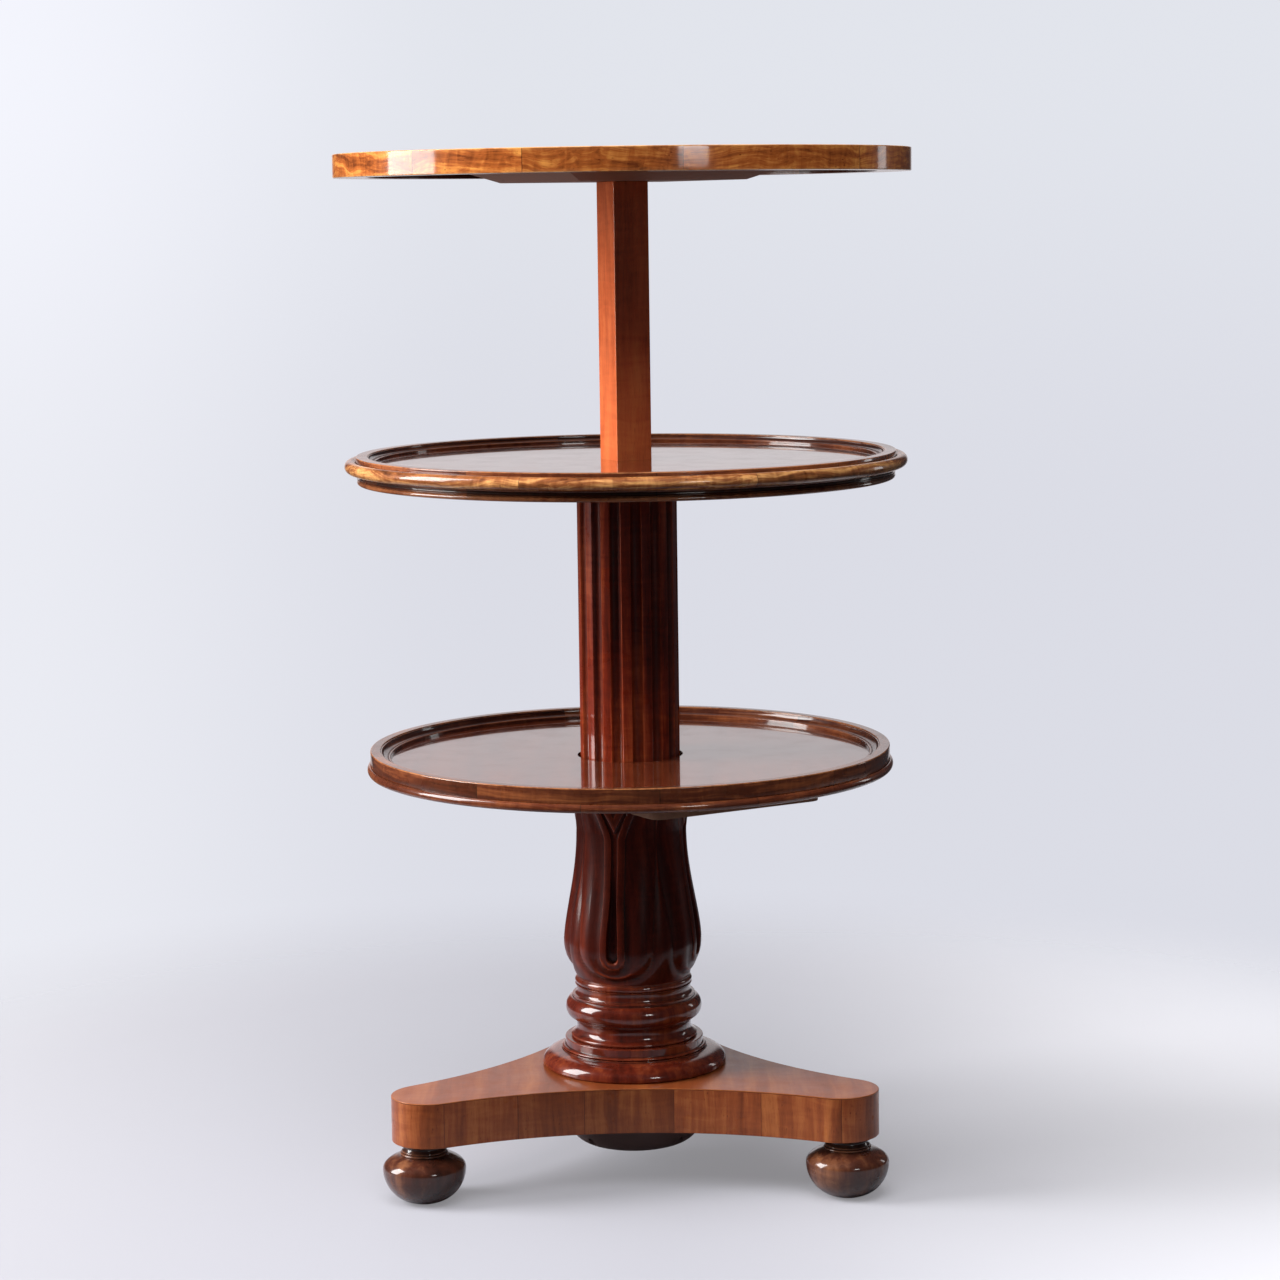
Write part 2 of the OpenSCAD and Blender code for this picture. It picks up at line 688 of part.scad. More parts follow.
// Threaded bush that a clamp screw turns in, from its inner end to its flange
module clamp_nut(length, screw_r) {
    difference() {
        turned([
            [0, 0], [screw_r + nut_wall, 0], [screw_r + nut_wall, length],
            [screw_r + nut_wall + 2, length], [screw_r + nut_wall + 2, length + nut_flange],
            [0, length + nut_flange]
        ]);
        translate([0, 0, -through])
            cylinder(r = screw_r + thread_fit, h = length + nut_flange + 2 * through);
    }
}

module lower_clamp_nut() {
    color("#b08a3e") outwards(lower_clamp_turn, lower_clamp_z)
        translate([0, 0, lower_block_w / 2 - lower_nut_l]) clamp_nut(lower_nut_l, lower_screw_r);
}

// Clamp screw with a turned knob, drawn from its tip outwards
module clamp_screw(tip_at, knob_at, screw_r, knob_r) {
    knob_t = knob_r * 0.9;
    neck_r = screw_r + 1;
    translate([0, 0, tip_at]) turned([
        [0, 0], [screw_r - 1, 0], [screw_r, 1], [screw_r, knob_at - tip_at - 0.5],
        [neck_r, knob_at - tip_at], [neck_r, knob_at - tip_at + knob_t * 0.3],
        [knob_r - 1, knob_at - tip_at + knob_t * 0.36], [knob_r, knob_at - tip_at + knob_t * 0.48],
        [knob_r, knob_at - tip_at + knob_t * 0.84], [knob_r - 1, knob_at - tip_at + knob_t * 0.94],
        [knob_r * 0.4, knob_at - tip_at + knob_t], [0, knob_at - tip_at + knob_t * 1.04]
    ]);
}

module lower_clamp_screw() {
    color("#b8923f") outwards(lower_clamp_turn, lower_clamp_z)
        clamp_screw(column_r + rest_gap, lower_block_w / 2 + nut_flange + knob_gap,
            lower_screw_r, lower_knob_r);
}

// Flat round panel with a tongue round its edge and a shallow rebate for its moulding
module tray_panel(r, z, moulding_w) {
    rebate_r = r - moulding_w - moulding_fit;
    translate([0, 0, z]) turned([
        [0, 0], [r, 0], [r, (panel_t - tongue_t) / 2], [r + tongue_w, (panel_t - tongue_t) / 2],
        [r + tongue_w, (panel_t + tongue_t) / 2], [r, (panel_t + tongue_t) / 2],
        [r, panel_t - let_in], [rebate_r, panel_t - let_in], [rebate_r, panel_t], [0, panel_t]
    ]);
}

// Groove in a rim for a panel's tongue
module tongue_groove(r, z) {
    translate([0, 0, z + (panel_t - tongue_t) / 2 - glue_fit])
        cylinder(r = r + tongue_w + glue_fit, h = tongue_t + 2 * glue_fit);
}

module lower_tray_panel() {
    color("#6e3020") difference() {
        tray_panel(lower_rim_in - glue_fit, lower_panel_z, lower_moulding_w);
        translate([0, 0, lower_panel_z - through]) cylinder(r = lower_hole_r, h = panel_t + 2 * through);
        lower_screw_places() wood_screw_hole(lower_block_t + panel_t - screw_end_gap);
    }
}

module lower_tray_rim() {
    h = lower_ridge_z - lower_rim_z;
    soft = 1.2;
    color("#7c4226") difference() {
        translate([0, 0, lower_rim_z]) turned(concat(
            [[lower_rim_in, 0], [lower_rim_r, 0]],
            arc(lower_rim_r - soft, h - soft, soft, soft, 0, 90, small_steps),
            arc(lower_rim_in + soft, h - soft, soft, soft, 90, 180, small_steps)
        ));
        tongue_groove(lower_rim_in, lower_panel_z);
    }
}

module lower_tray_bead() {
    color("#8a4a2a") translate([0, 0, lower_rim_z]) turned(concat(
        [[lower_rim_r + glue_fit, 0]],
        arc(lower_rim_r + glue_fit, lower_bead_h / 2, lower_bead_out, lower_bead_h / 2, -80, 80, large_steps),
        [[lower_rim_r + glue_fit, lower_bead_h]]
    ));
}

// Moulding inside a tray's ridge: a hollow that falls from the ridge to a bead, let into the panel
module tray_moulding(r_out, width, height) {
    bead_w = width * 0.32;
    bead_h = height * 0.3;
    fillet_w = width * 0.12;
    fall_w = width - bead_w - fillet_w;
    turned(concat(
        [[r_out - width, -let_in], [r_out, -let_in], [r_out, height], [r_out - fillet_w, height]],
        arc(r_out - fillet_w - fall_w, height - 0.6, fall_w, height - bead_h - 1, 0, -90, large_steps),
        arc(r_out - width + bead_w / 2, bead_h - 0.6, bead_w / 2, bead_h * 0.6, 60, 170, small_steps)
    ));
}

module lower_tray_moulding() {
    color("#6a3322") translate([0, 0, lower_panel_top])
        tray_moulding(lower_rim_in - glue_fit, lower_moulding_w, lower_recess - 1.2);
}

// Fluted column: a plain foot that slides in the well, the fluted shaft and a tenon
module fluted_column() {
    shaft_z = lower_block_z - rest_gap;
    shaft_h = mid_block_z - shaft_z;
    flute_at = column_r + flute_r - flute_depth;
    color("#6d2a1c") {
        difference() {
            union() {
                translate([0, 0, column_z]) cylinder(r = column_foot_r, h = column_foot_h);
                translate([0, 0, shaft_z]) linear_extrude(shaft_h) difference() {
                    circle(r = column_r);
                    for (i = [0:flute_count - 1])
                        rotate([0, 0, land_turn + 360 * (i + 0.5) / flute_count])
                            translate([flute_at, 0]) circle(r = flute_r, $fn = 48);
                }
                translate([0, 0, mid_block_z - through])
                    cylinder(r = column_tenon_r, h = column_tenon_h + through);
            }
            translate([0, 0, column_z - through])
                cylinder(r = column_bore_r, h = mid_block_z + column_tenon_h - column_z + 2 * through);
        }
    }
}

// Block between the fluted column and the middle tray
module mid_block() {
    color("#5b2f1e") difference() {
        rotate([0, 0, post_turn]) translate([-mid_block_w / 2, -mid_block_w / 2, mid_block_z])
            cube([mid_block_w, mid_block_w, mid_block_t]);
        post_hole(mid_block_z, mid_block_t);
        translate([0, 0, mid_block_z - through])
            cylinder(r = column_tenon_r + glue_fit, h = column_tenon_h + glue_fit + through);
        mid_screw_places() wood_screw_hole(mid_block_t + panel_t - screw_end_gap);
        outwards(upper_clamp_turn, upper_clamp_z)
            cylinder(r = upper_screw_r + 2 * thread_fit, h = mid_block_w);
        outwards(upper_clamp_turn, upper_clamp_z) translate([0, 0, mid_block_w / 2 - upper_nut_l])
            cylinder(r = upper_screw_r + nut_wall + glue_fit, h = upper_nut_l + through);
    }
}

// Square hole that guides the post
module post_hole(z, h) {
    rotate([0, 0, post_turn]) translate([-post_hole_w / 2, -post_hole_w / 2, z - through])
        cube([post_hole_w, post_hole_w, h + 2 * through]);
}

module mid_screw_places() {
    rotate([0, 0, post_turn]) translate([0, 0, mid_block_z])
        at_corners(mid_screw_at, mid_screw_at) children();
}

module mid_block_screws() {
    color("#4a4540") mid_screw_places() wood_screw(mid_block_t + panel_t - screw_end_gap);
}

module upper_clamp_nut() {
    color("#b08a3e") outwards(upper_clamp_turn, upper_clamp_z)
        translate([0, 0, mid_block_w / 2 - upper_nut_l]) clamp_nut(upper_nut_l, upper_screw_r);
}

module upper_clamp_screw() {
    color("#b8923f") outwards(upper_clamp_turn, upper_clamp_z)
        clamp_screw(post_w / 2 + rest_gap, mid_block_w / 2 + nut_flange + knob_gap,
            upper_screw_r, upper_knob_r);
}

module mid_tray_panel() {
    color("#6e3020") difference() {
        tray_panel(mid_rim_in - glue_fit, mid_panel_z, mid_moulding_w);
        post_hole(mid_panel_z, panel_t);
        mid_screw_places() wood_screw_hole(mid_block_t + panel_t - screw_end_gap);
    }
}

// Rim of the middle tray, with a cove and a small bead under its flat back
module mid_tray_rim() {
    soft = 1.2;
    quirk_z = mid_rim_h - 18;
    quirk_in = 2.5;
    bead_h = 5;
    color("#74391f") difference() {
        translate([0, 0, mid_rim_z]) turned(concat(
            [[mid_rim_in, 0], [mid_rim_r - quirk_in - 1, 0]],
            arc(mid_rim_r - quirk_in - 1, bead_h / 2, 2.5, bead_h / 2, -80, 80, small_steps),
            arc(mid_rim_r + 1.5, bead_h + 3, quirk_in + 2.5, 2.6, 240, 120, small_steps),
            [[mid_rim_r, quirk_z]],
            arc(mid_rim_r - soft, mid_rim_h - soft, soft, soft, 0, 90, small_steps),
            arc(mid_rim_in + soft, mid_rim_h - soft, soft, soft, 90, 180, small_steps)
        ));
        tongue_groove(mid_rim_in, mid_panel_z);
    }
}

// Big half-round bead glued round the middle tray's rim
module mid_tray_bead() {
    back = mid_bead_r * 0.76;
    open = acos(-back / mid_bead_r);
    color("#8c4b2a") translate([0, 0, mid_ridge_z - mid_bead_drop])
        turned(arc(mid_rim_r + glue_fit + back, 0, mid_bead_r, mid_bead_r, -open, open, 2 * large_steps));
}

module mid_tray_moulding() {
    color("#6a3322") translate([0, 0, mid_panel_top])
        tray_moulding(mid_rim_in - glue_fit, mid_moulding_w, mid_recess - 1.2);
}

// Square post with its tenon
module post() {
    color("#8a3f26") rotate([0, 0, post_turn]) {
        translate([-post_w / 2, -post_w / 2, post_z]) cube([post_w, post_w, top_block_z - post_z]);
        translate([-post_tenon_w / 2, -post_tenon_w / 2, top_block_z])
            cube([post_tenon_w, post_tenon_w, top_block_t]);
    }
}

// Round guide glued on the post's foot, which also stops the post under the middle block
module post_guide() {
    hole_w = post_w + 2 * glue_fit;
    color("#6b4029") difference() {
        translate([0, 0, post_z]) cylinder(r = post_guide_r, h = post_guide_h);
        rotate([0, 0, post_turn]) translate([-hole_w / 2, -hole_w / 2, post_z - through])
            cube([hole_w, hole_w, post_guide_h + 2 * through]);
    }
}

// Block between the post and the top, bevelled on all four sides
module top_block() {
    edge_h = 4;
    w = top_block_w / 2;
    face = top_block_face_w / 2;
    bevel = [[-face, 0], [face, 0], [w, top_block_t - edge_h], [w, top_block_t],
        [-w, top_block_t], [-w, top_block_t - edge_h]];
    tenon_hole = post_tenon_w + 2 * glue_fit;
    color("#5b2f1e") difference() {
        translate([0, 0, top_block_z]) rotate([0, 0, post_turn]) intersection() {
            rotate([90, 0, 0]) translate([0, 0, -w]) linear_extrude(2 * w) polygon(bevel);
            rotate([90, 0, 90]) translate([0, 0, -w]) linear_extrude(2 * w) polygon(bevel);
        }
        rotate([0, 0, post_turn]) translate([-tenon_hole / 2, -tenon_hole / 2, top_block_z - through])
            cube([tenon_hole, tenon_hole, top_block_t + 2 * through]);
        top_screw_places() wood_screw_hole(top_block_t + top_panel_t - screw_end_gap);
    }
}

module top_screw_places() {
    rotate([0, 0, post_turn]) translate([0, 0, top_block_z])
        at_corners(top_screw_at, top_screw_at) children();
}

module top_block_screws() {
    color("#4a4540") top_screw_places() wood_screw(top_block_t + top_panel_t - screw_end_gap);
}

// Round top
module top_panel() {
    color("#6e3522") difference() {
        translate([0, 0, top_panel_z]) cylinder(r = top_core_r, h = top_panel_t);
        top_screw_places() wood_screw_hole(top_block_t + top_panel_t - screw_end_gap);
    }
}

// Ring that thickens the top's edge
module top_lapping() {
    color("#62301f") translate([0, 0, lapping_z]) ring(top_core_r, top_r - lapping_w, lapping_t);
}

// Veneered band round the top's edge
module top_edge_veneer() {
    color("#9a5a2c") translate([0, 0, lapping_z])
        ring(top_r, top_core_r + glue_fit, lapping_t + top_panel_t);
}

base_core();
base_top_veneer();
base_edge_veneer();
foot_front_left();
foot_front_right();
foot_back();
base_ring();
column_socle();
socle_collar();
baluster();
well_cap();
well_cap_screws();
lower_block();
lower_block_screws();
lower_clamp_nut();
lower_clamp_screw();
lower_tray_panel();
lower_tray_rim();
lower_tray_bead();
lower_tray_moulding();
fluted_column();
mid_block();
mid_block_screws();
upper_clamp_nut();
upper_clamp_screw();
mid_tray_panel();
mid_tray_rim();
mid_tray_bead();
mid_tray_moulding();
post();
post_guide();
top_block();
top_block_screws();
top_panel();
top_lapping();
top_edge_veneer();
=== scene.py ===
"""Finishes a three-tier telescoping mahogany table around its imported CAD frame.

Each operator makes one group of the table's pieces with bmesh, gives them their polish and seats
them on the bodies that carry them. The studio operator makes the floor, the lamps and the camera.
"""

import json
import math
from types import SimpleNamespace

import bmesh
import bpy
import numpy as np
from bpy.props import FloatProperty, FloatVectorProperty, IntProperty, PointerProperty
from bpy.types import Operator, Panel, PropertyGroup
from mathutils import Matrix, Vector, kdtree, noise

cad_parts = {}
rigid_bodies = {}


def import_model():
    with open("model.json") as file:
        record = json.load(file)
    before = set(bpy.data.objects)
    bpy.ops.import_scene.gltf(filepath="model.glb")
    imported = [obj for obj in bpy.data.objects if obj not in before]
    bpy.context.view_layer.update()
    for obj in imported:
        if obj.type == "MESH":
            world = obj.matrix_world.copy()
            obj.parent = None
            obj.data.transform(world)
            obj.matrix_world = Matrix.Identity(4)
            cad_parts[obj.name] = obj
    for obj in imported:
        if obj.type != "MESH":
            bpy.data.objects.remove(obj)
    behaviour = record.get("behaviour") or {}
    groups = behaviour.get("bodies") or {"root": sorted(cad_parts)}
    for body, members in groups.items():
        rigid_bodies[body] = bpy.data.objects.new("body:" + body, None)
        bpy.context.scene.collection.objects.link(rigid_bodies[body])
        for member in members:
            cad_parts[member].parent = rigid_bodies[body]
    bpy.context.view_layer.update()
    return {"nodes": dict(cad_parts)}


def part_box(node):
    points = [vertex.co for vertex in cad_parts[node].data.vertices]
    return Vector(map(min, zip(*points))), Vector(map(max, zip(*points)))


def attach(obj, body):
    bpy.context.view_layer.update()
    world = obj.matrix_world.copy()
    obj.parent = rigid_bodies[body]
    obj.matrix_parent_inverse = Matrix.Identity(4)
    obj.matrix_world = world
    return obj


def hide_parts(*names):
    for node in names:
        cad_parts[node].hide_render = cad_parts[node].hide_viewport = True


bl_info = {
    "name": "Three-Tier Telescoping Table",
    "version": (1, 0, 0),
    "blender": (4, 5, 0),
    "location": "3D View > Sidebar > Table",
    "description": "Dresses a telescoping mahogany table around its CAD frame",
    "category": "Object",
}

for leftover in list(bpy.data.objects):
    bpy.data.objects.remove(leftover)
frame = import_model()
MM = 0.001
GLUE_GAP = 0.05 * MM
LET_IN = 0.5 * MM
FULL_TURN = 2 * math.pi


def radius_of(node):
    """Widest radius of a node that is centred on the table's axis."""
    low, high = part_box(node)
    return (high.x - low.x) / 2


def levels_of(node):
    """Lowest and highest level of a node."""
    low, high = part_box(node)
    return low.z, high.z


# Sizes and colours that a user would change


def length(label, default, description):
    return FloatProperty(
        name=label, description=description, default=default, unit="LENGTH", precision=5
    )


def angle(label, degrees, description):
    return FloatProperty(
        name=label, description=description, default=math.radians(degrees), subtype="ANGLE"
    )


def colour(label, default, description):
    return FloatVectorProperty(
        name=label, description=description, default=default, subtype="COLOR", size=3,
        min=0, max=1,
    )


def share(label, default, description):
    return FloatProperty(
        name=label, description=description, default=default, subtype="FACTOR", min=0, max=1
    )


class TableShapes(PropertyGroup):
    """Sizes of the finished surfaces."""

    arris: length("Arris", 0.0007, "Softening of the boards' edges")
    well_r: length("Well radius", 0.0557, "Bore that the fluted column sinks into")
    ring_turns: IntProperty(
        name="Facets round", description="Facets round a turned piece", default=256, min=64
    )
    side_r: length("Side radius", 0.45, "Radius of the platform's concave sides")
    side_mid: length("Side depth", 0.116, "Distance from the axis to the middle of a side")
    leaf_count: IntProperty(name="Leaves", description="Carved leaves", default=4, min=3)
    leaf_turn: angle("Leaf turn", -108, "Direction of the first leaf's middle from +X")
    leaf_w: length("Leaf width", 0.093, "Width of a leaf round the bulge")
    leaf_relief: length("Leaf relief", 0.0036, "Depth of the valleys between leaves")
    back_relief: length("Back relief", 0.0014, "Depth of the hidden leaf tips between leaves")
    hairpin_depth: length("Hairpin depth", 0.006, "Depth of the hairpin groove at the bulge")
    hairpin_half_w: length("Hairpin half width", 0.004, "Half width of the groove at the neck")
    hairpin_wide: length("Hairpin round", 0.0066, "Radius of the hairpin's round end")
    lip_w: length("Lip width", 0.0072, "Width of the band along the hairpin groove")
    column_r: length("Column radius", 0.0537, "Radius of the fluted column over its lands")
    column_bore_r: length("Column bore", 0.034, "Radius of the column's bore")
    column_foot_h: length("Column foot", 0.1001, "Length of the column's plain foot")
    flute_count: IntProperty(name="Flutes", description="Flutes round the column", default=15)
    flute_r: length("Flute radius", 0.0066, "Radius of a flute's hollow")
    flute_depth: length("Flute depth", 0.00475, "Depth of a flute")
    land_turn: angle("Land turn", 123.7, "Direction of the first land from +X")
    block_turn: angle("Lower block turn", 30.5, "Turn of the lower block and its clamp from +X")
    post_turn: angle("Post turn", 26.6, "Turn of the post and its blocks about the axis")


# Dark grain, body, and light grain of each wood; the light colour also lightens worn edges, partly
# as a painted highlight
WOODS = {
    "edge": ("Top edge", (0.14, 0.032, 0.007), (0.38, 0.098, 0.020), (0.66, 0.26, 0.055)),
    "platform": ("Platform", (0.12, 0.026, 0.008), (0.245, 0.057, 0.016), (0.43, 0.135, 0.038)),
    "turned": ("Turned socle", (0.035, 0.005, 0.003), (0.125, 0.016, 0.007), (0.30, 0.062, 0.020)),
    # The carved leaves' colours are kept darker than the other mahogany, partly as painted shade
    # from the trays above
    "carved": ("Carved leaves", (0.012, 0.002, 0.002), (0.068, 0.008, 0.004), (0.19, 0.026, 0.009)),
    "column": ("Column", (0.045, 0.007, 0.004), (0.185, 0.020, 0.007), (0.44, 0.085, 0.026)),
    "post": ("Post", (0.30, 0.050, 0.016), (0.58, 0.115, 0.035), (0.76, 0.21, 0.065)),
    "panel": ("Panels", (0.050, 0.009, 0.005), (0.125, 0.025, 0.009), (0.21, 0.050, 0.018)),
    "rim": ("Rims", (0.030, 0.007, 0.004), (0.098, 0.021, 0.009), (0.32, 0.095, 0.032)),
    "bead": ("Beads", (0.07, 0.017, 0.006), (0.28, 0.088, 0.028), (0.72, 0.35, 0.12)),
    "foot": ("Feet", (0.028, 0.009, 0.006), (0.078, 0.022, 0.012), (0.26, 0.10, 0.045)),
}
TONES = ("dark", "mid", "light")


class TableFinishes(PropertyGroup):
    """Colours of the woods and metals, how worn they are, and how much painted highlight and shade
    their edges and hollows carry.
    """

    # Old wax and dust in the hollows, and painted shade there; the same colour darkens the boards'
    # joints
    grime_and_shade: colour("Grime_and_Shade", (0.010, 0.006, 0.004), "Old wax and dust in the hollows")
    iron: colour("Iron", (0.16, 0.145, 0.13), "Wood screws")
    iron_dark: colour("Iron rust", (0.07, 0.035, 0.02), "Rust on the wood screws")
    # Lightens the raised edges as worn polish and partly as a painted highlight
    wear_and_highlight: share("Wear_and_Highlight", 0.75, "How far the raised edges are rubbed")
    # Darkens the hollows as dust and partly as painted shade
    dirt_and_shade: share("Dirt_and_Shade", 0.8, "How dark the hollows are")


for wood, (label, *shades) in WOODS.items():
    for tone, shade in zip(TONES, shades):
        TableFinishes.__annotations__[f"{wood}_{tone}"] = colour(
            f"{label} {tone}", shade, f"The wood's {tone} colour"
        )


class TableStudio(PropertyGroup):
    """Camera and studio."""

    lens: FloatProperty(
        name="Lens", description="Focal length on a 36 mm sensor", default=92.5,
        subtype="DISTANCE_CAMERA",
    )
    camera_back: length("Camera distance", 3.510, "Distance from the axis to the camera")
    camera_height: length("Camera height", 1.036, "Height of the camera above the floor")
    camera_pitch: angle("Pitch", 7.43, "How far the camera looks down")
    camera_yaw: angle("Yaw", 0.20, "Turn of the camera to the right")
    camera_roll: angle("Roll", 0.79, "Lean of the camera to the right")
    floor_left: colour("Floor left", (0.50, 0.49, 0.51), "Pale floor by the window")
    floor_middle: colour("Floor middle", (0.42, 0.42, 0.47), "Pale floor under the table")
    floor_right: colour("Floor right", (0.90, 0.90, 0.95), "Pale floor away from the window")
    floor_glow: colour("Floor glow", (0.76, 0.75, 0.79), "Light that the floor's shadows keep")
    floor_bounce: colour("Floor bounce", (0.12, 0.115, 0.12), "Floor as it lights the table")
    room: colour("Room", (0.035, 0.035, 0.04), "Dim room that the polish mirrors")
    room_light: colour("Room light", (0.085, 0.085, 0.09), "Soft light from all round")
    mirror_tint: colour("Mirror tint", (0.92, 0.84, 0.80), "Amber of the polish's reflections")
    wall_left: colour("Backdrop left", (0.83, 0.84, 0.90), "Lit end of the backdrop, low down")
    wall_right: colour("Backdrop right", (0.71, 0.72, 0.79), "Far end of the backdrop, low down")
    wall_left_high: colour("Backdrop left high", (0.91, 0.92, 0.99), "Lit end, higher up")
    wall_right_high: colour("Backdrop right high", (0.76, 0.78, 0.84), "Far end, higher up")


# Node trees


def feed(tree, sockets, values):
    """Links or sets sockets by name or number."""
    for key, value in values.items():
        if isinstance(value, bpy.types.NodeSocket):
            tree.links.new(value, sockets[key])
        else:
            sockets[key].default_value = value


def node(tree, kind, inputs=None, **settings):
    """A new node, with its settings made first and its sockets fed after."""
    made = tree.nodes.new("ShaderNode" + kind)
    for key, value in settings.items():
        setattr(made, key, value)
    feed(tree, made.inputs, inputs or {})
    return made


def calc(tree, operation, a, b=0.0, c=0.0, clamp=False):
    """The result of one sum."""
    return node(tree, "Math", {0: a, 1: b, 2: c}, operation=operation, use_clamp=clamp).outputs[0]


def vector_calc(tree, operation, a, b):
    """The result of one sum of vectors."""
    return node(tree, "VectorMath", {0: a, 1: b}, operation=operation).outputs["Vector"]


def length_of(tree, vector):
    return node(tree, "VectorMath", {0: vector}, operation="LENGTH").outputs["Value"]


def combined(tree, x, y, z):
    return node(tree, "CombineXYZ", {0: x, 1: y, 2: z}).outputs[0]


def part_of(tree, vector, axis):
    return node(tree, "SeparateXYZ", {0: vector}).outputs[axis]


def remap(tree, value, low, high, to_low=0.0, to_high=1.0, smooth=True):
    """A value taken from one range to another."""
    return node(
        tree, "MapRange",
        {"Value": value, "From Min": low, "From Max": high, "To Min": to_low, "To Max": to_high},
        interpolation_type="SMOOTHSTEP" if smooth else "LINEAR",
    ).outputs["Result"]


def blend(tree, factor, a, b, mode="MIX"):
    """Two colours mixed."""
    return node(tree, "Mix", {0: factor, 6: a, 7: b}, data_type="RGBA", blend_type=mode).outputs[2]


def speckle(tree, vector, scale, detail=3.0, roughness=0.55, distortion=0.0):
    """Fractal noise, 0 to 1."""
    return node(
        tree, "TexNoise",
        {
            "Vector": vector, "Scale": scale, "Detail": detail,
            "Roughness": roughness, "Distortion": distortion,
        },
    ).outputs["Fac"]


def cell_distance(tree, vector, scale):
    """Distance to the nearest of some scattered points."""
    return node(
        tree, "TexVoronoi", {"Vector": vector, "Scale": scale}, feature="F1"
    ).outputs["Distance"]


def stretch(tree, vector, scale=(1, 1, 1), turn=(0, 0, 0), shift=(0, 0, 0)):
    """A vector moved, turned and scaled."""
    return node(
        tree, "Mapping", {"Vector": vector, "Scale": scale, "Rotation": turn, "Location": shift}
    ).outputs["Vector"]


def new_group(name, inputs, outputs):
    """A node group. An input is a vector, a colour or a value, whichever its default is."""
    tree = bpy.data.node_groups.new(name, "ShaderNodeTree")
    for label, default in inputs.items():
        kind = {type(None): "Vector", tuple: "Color", float: "Float"}[type(default)]
        socket = tree.interface.new_socket(
            label, in_out="INPUT", socket_type="NodeSocket" + kind
        )
        if kind != "Vector":
            socket.default_value = (*default, 1) if kind == "Color" else default
    for label, kind in outputs.items():
        tree.interface.new_socket(label, in_out="OUTPUT", socket_type="NodeSocket" + kind)
    source = tree.nodes.new("NodeGroupInput").outputs
    return tree, source, tree.nodes.new("NodeGroupOutput").inputs


def use_group(tree, name, inputs):
    """A node group placed in a material."""
    return node(tree, "Group", inputs, node_tree=bpy.data.node_groups[name]).outputs


def build_ring_space():
    """Unrolls the space round the axis into out, up and round, with its seam at the back."""
    tree, source, sink = new_group(
        "Ring Space",
        {"Vector": None, "Radius": 0.28},
        {"Vector": "Vector", "Around": "Float"},
    )
    parts = node(tree, "SeparateXYZ", {0: source["Vector"]}).outputs
    turn = calc(tree, "ARCTAN2", parts["X"], calc(tree, "MULTIPLY", parts["Y"], -1.0))
    around = calc(tree, "MULTIPLY", turn, source["Radius"])
    out = length_of(tree, combined(tree, parts["X"], parts["Y"], 0.0))
    unrolled = combined(tree, out, parts["Z"], around)
    feed(tree, sink, {"Vector": unrolled, "Around": around})


def build_wood_figure():
    """Mahogany with its long grain along Z: streaks, growth bands, ribbon and open pores."""
    tree, source, sink = new_group(
        "Wood Figure",
        {
            "Vector": None,
            "Dark": (0.05, 0.01, 0.005), "Mid": (0.12, 0.03, 0.012), "Light": (0.3, 0.1, 0.04),
            "Streak Size": 0.006, "Wander": 0.5, "Ribbon": 0.4, "Pores": 0.5, "Contrast": 0.5,
        },
        {"Color": "Color", "Height": "Float"},
    )
    vector = source["Vector"]
    fine = calc(tree, "DIVIDE", 1.0, source["Streak Size"])
    scale = combined(tree, fine, fine, calc(tree, "MULTIPLY", fine, 0.055))
    # A slow noise bends the grain before the streaks are drawn
    drift = node(
        tree, "TexNoise", {"Vector": vector, "Scale": 9.0, "Detail": 2.0}
    ).outputs["Color"]
    drift = vector_calc(tree, "SUBTRACT", drift, (0.5, 0.5, 0.5))
    sway = calc(tree, "MULTIPLY", source["Wander"], 0.03)
    drift = node(
        tree, "VectorMath", {0: drift, "Scale": sway}, operation="SCALE"
    ).outputs["Vector"]
    bent = vector_calc(tree, "ADD", vector, drift)
    grain = vector_calc(tree, "MULTIPLY", bent, scale)
    streak = speckle(tree, grain, 1.0, 5.0, 0.62, 0.35)
    band = speckle(tree, stretch(tree, grain, (0.2, 0.2, 0.35)), 1.0, 3.0, 0.5, 0.8)
    ribbon = speckle(tree, stretch(tree, bent, (22, 22, 95)), 1.0, 2.0, 0.5, 1.2)
    pore = speckle(tree, stretch(tree, bent, (1500, 1500, 95)), 1.0, 1.0, 0.5)
    pore = calc(tree, "MULTIPLY", remap(tree, pore, 0.62, 0.74), source["Pores"])
    spread = calc(tree, "MULTIPLY_ADD", source["Contrast"], -0.22, 0.30)
    low, high = (calc(tree, step, 0.5, spread) for step in ("SUBTRACT", "ADD"))
    mixed = calc(tree, "MULTIPLY_ADD", band, 0.55, calc(tree, "MULTIPLY", streak, 0.45))
    tone = remap(tree, mixed, low, high, smooth=False)
    wave = calc(tree, "MULTIPLY", calc(tree, "SUBTRACT", ribbon, 0.5), source["Ribbon"])
    tone = calc(tree, "ADD", tone, wave, clamp=True)
    dark_half = remap(tree, tone, 0.0, 0.5, smooth=False)
    light_half = remap(tree, tone, 0.5, 1.0, smooth=False)
    wood = blend(tree, dark_half, source["Dark"], source["Mid"])
    wood = blend(tree, light_half, wood, source["Light"])
    deep = blend(tree, calc(tree, "MULTIPLY", pore, 0.7), wood, source["Dark"], "MULTIPLY")
    height = calc(tree, "MULTIPLY_ADD", streak, 0.25, calc(tree, "MULTIPLY", pore, -0.6))
    feed(tree, sink, {"Color": deep, "Height": height})


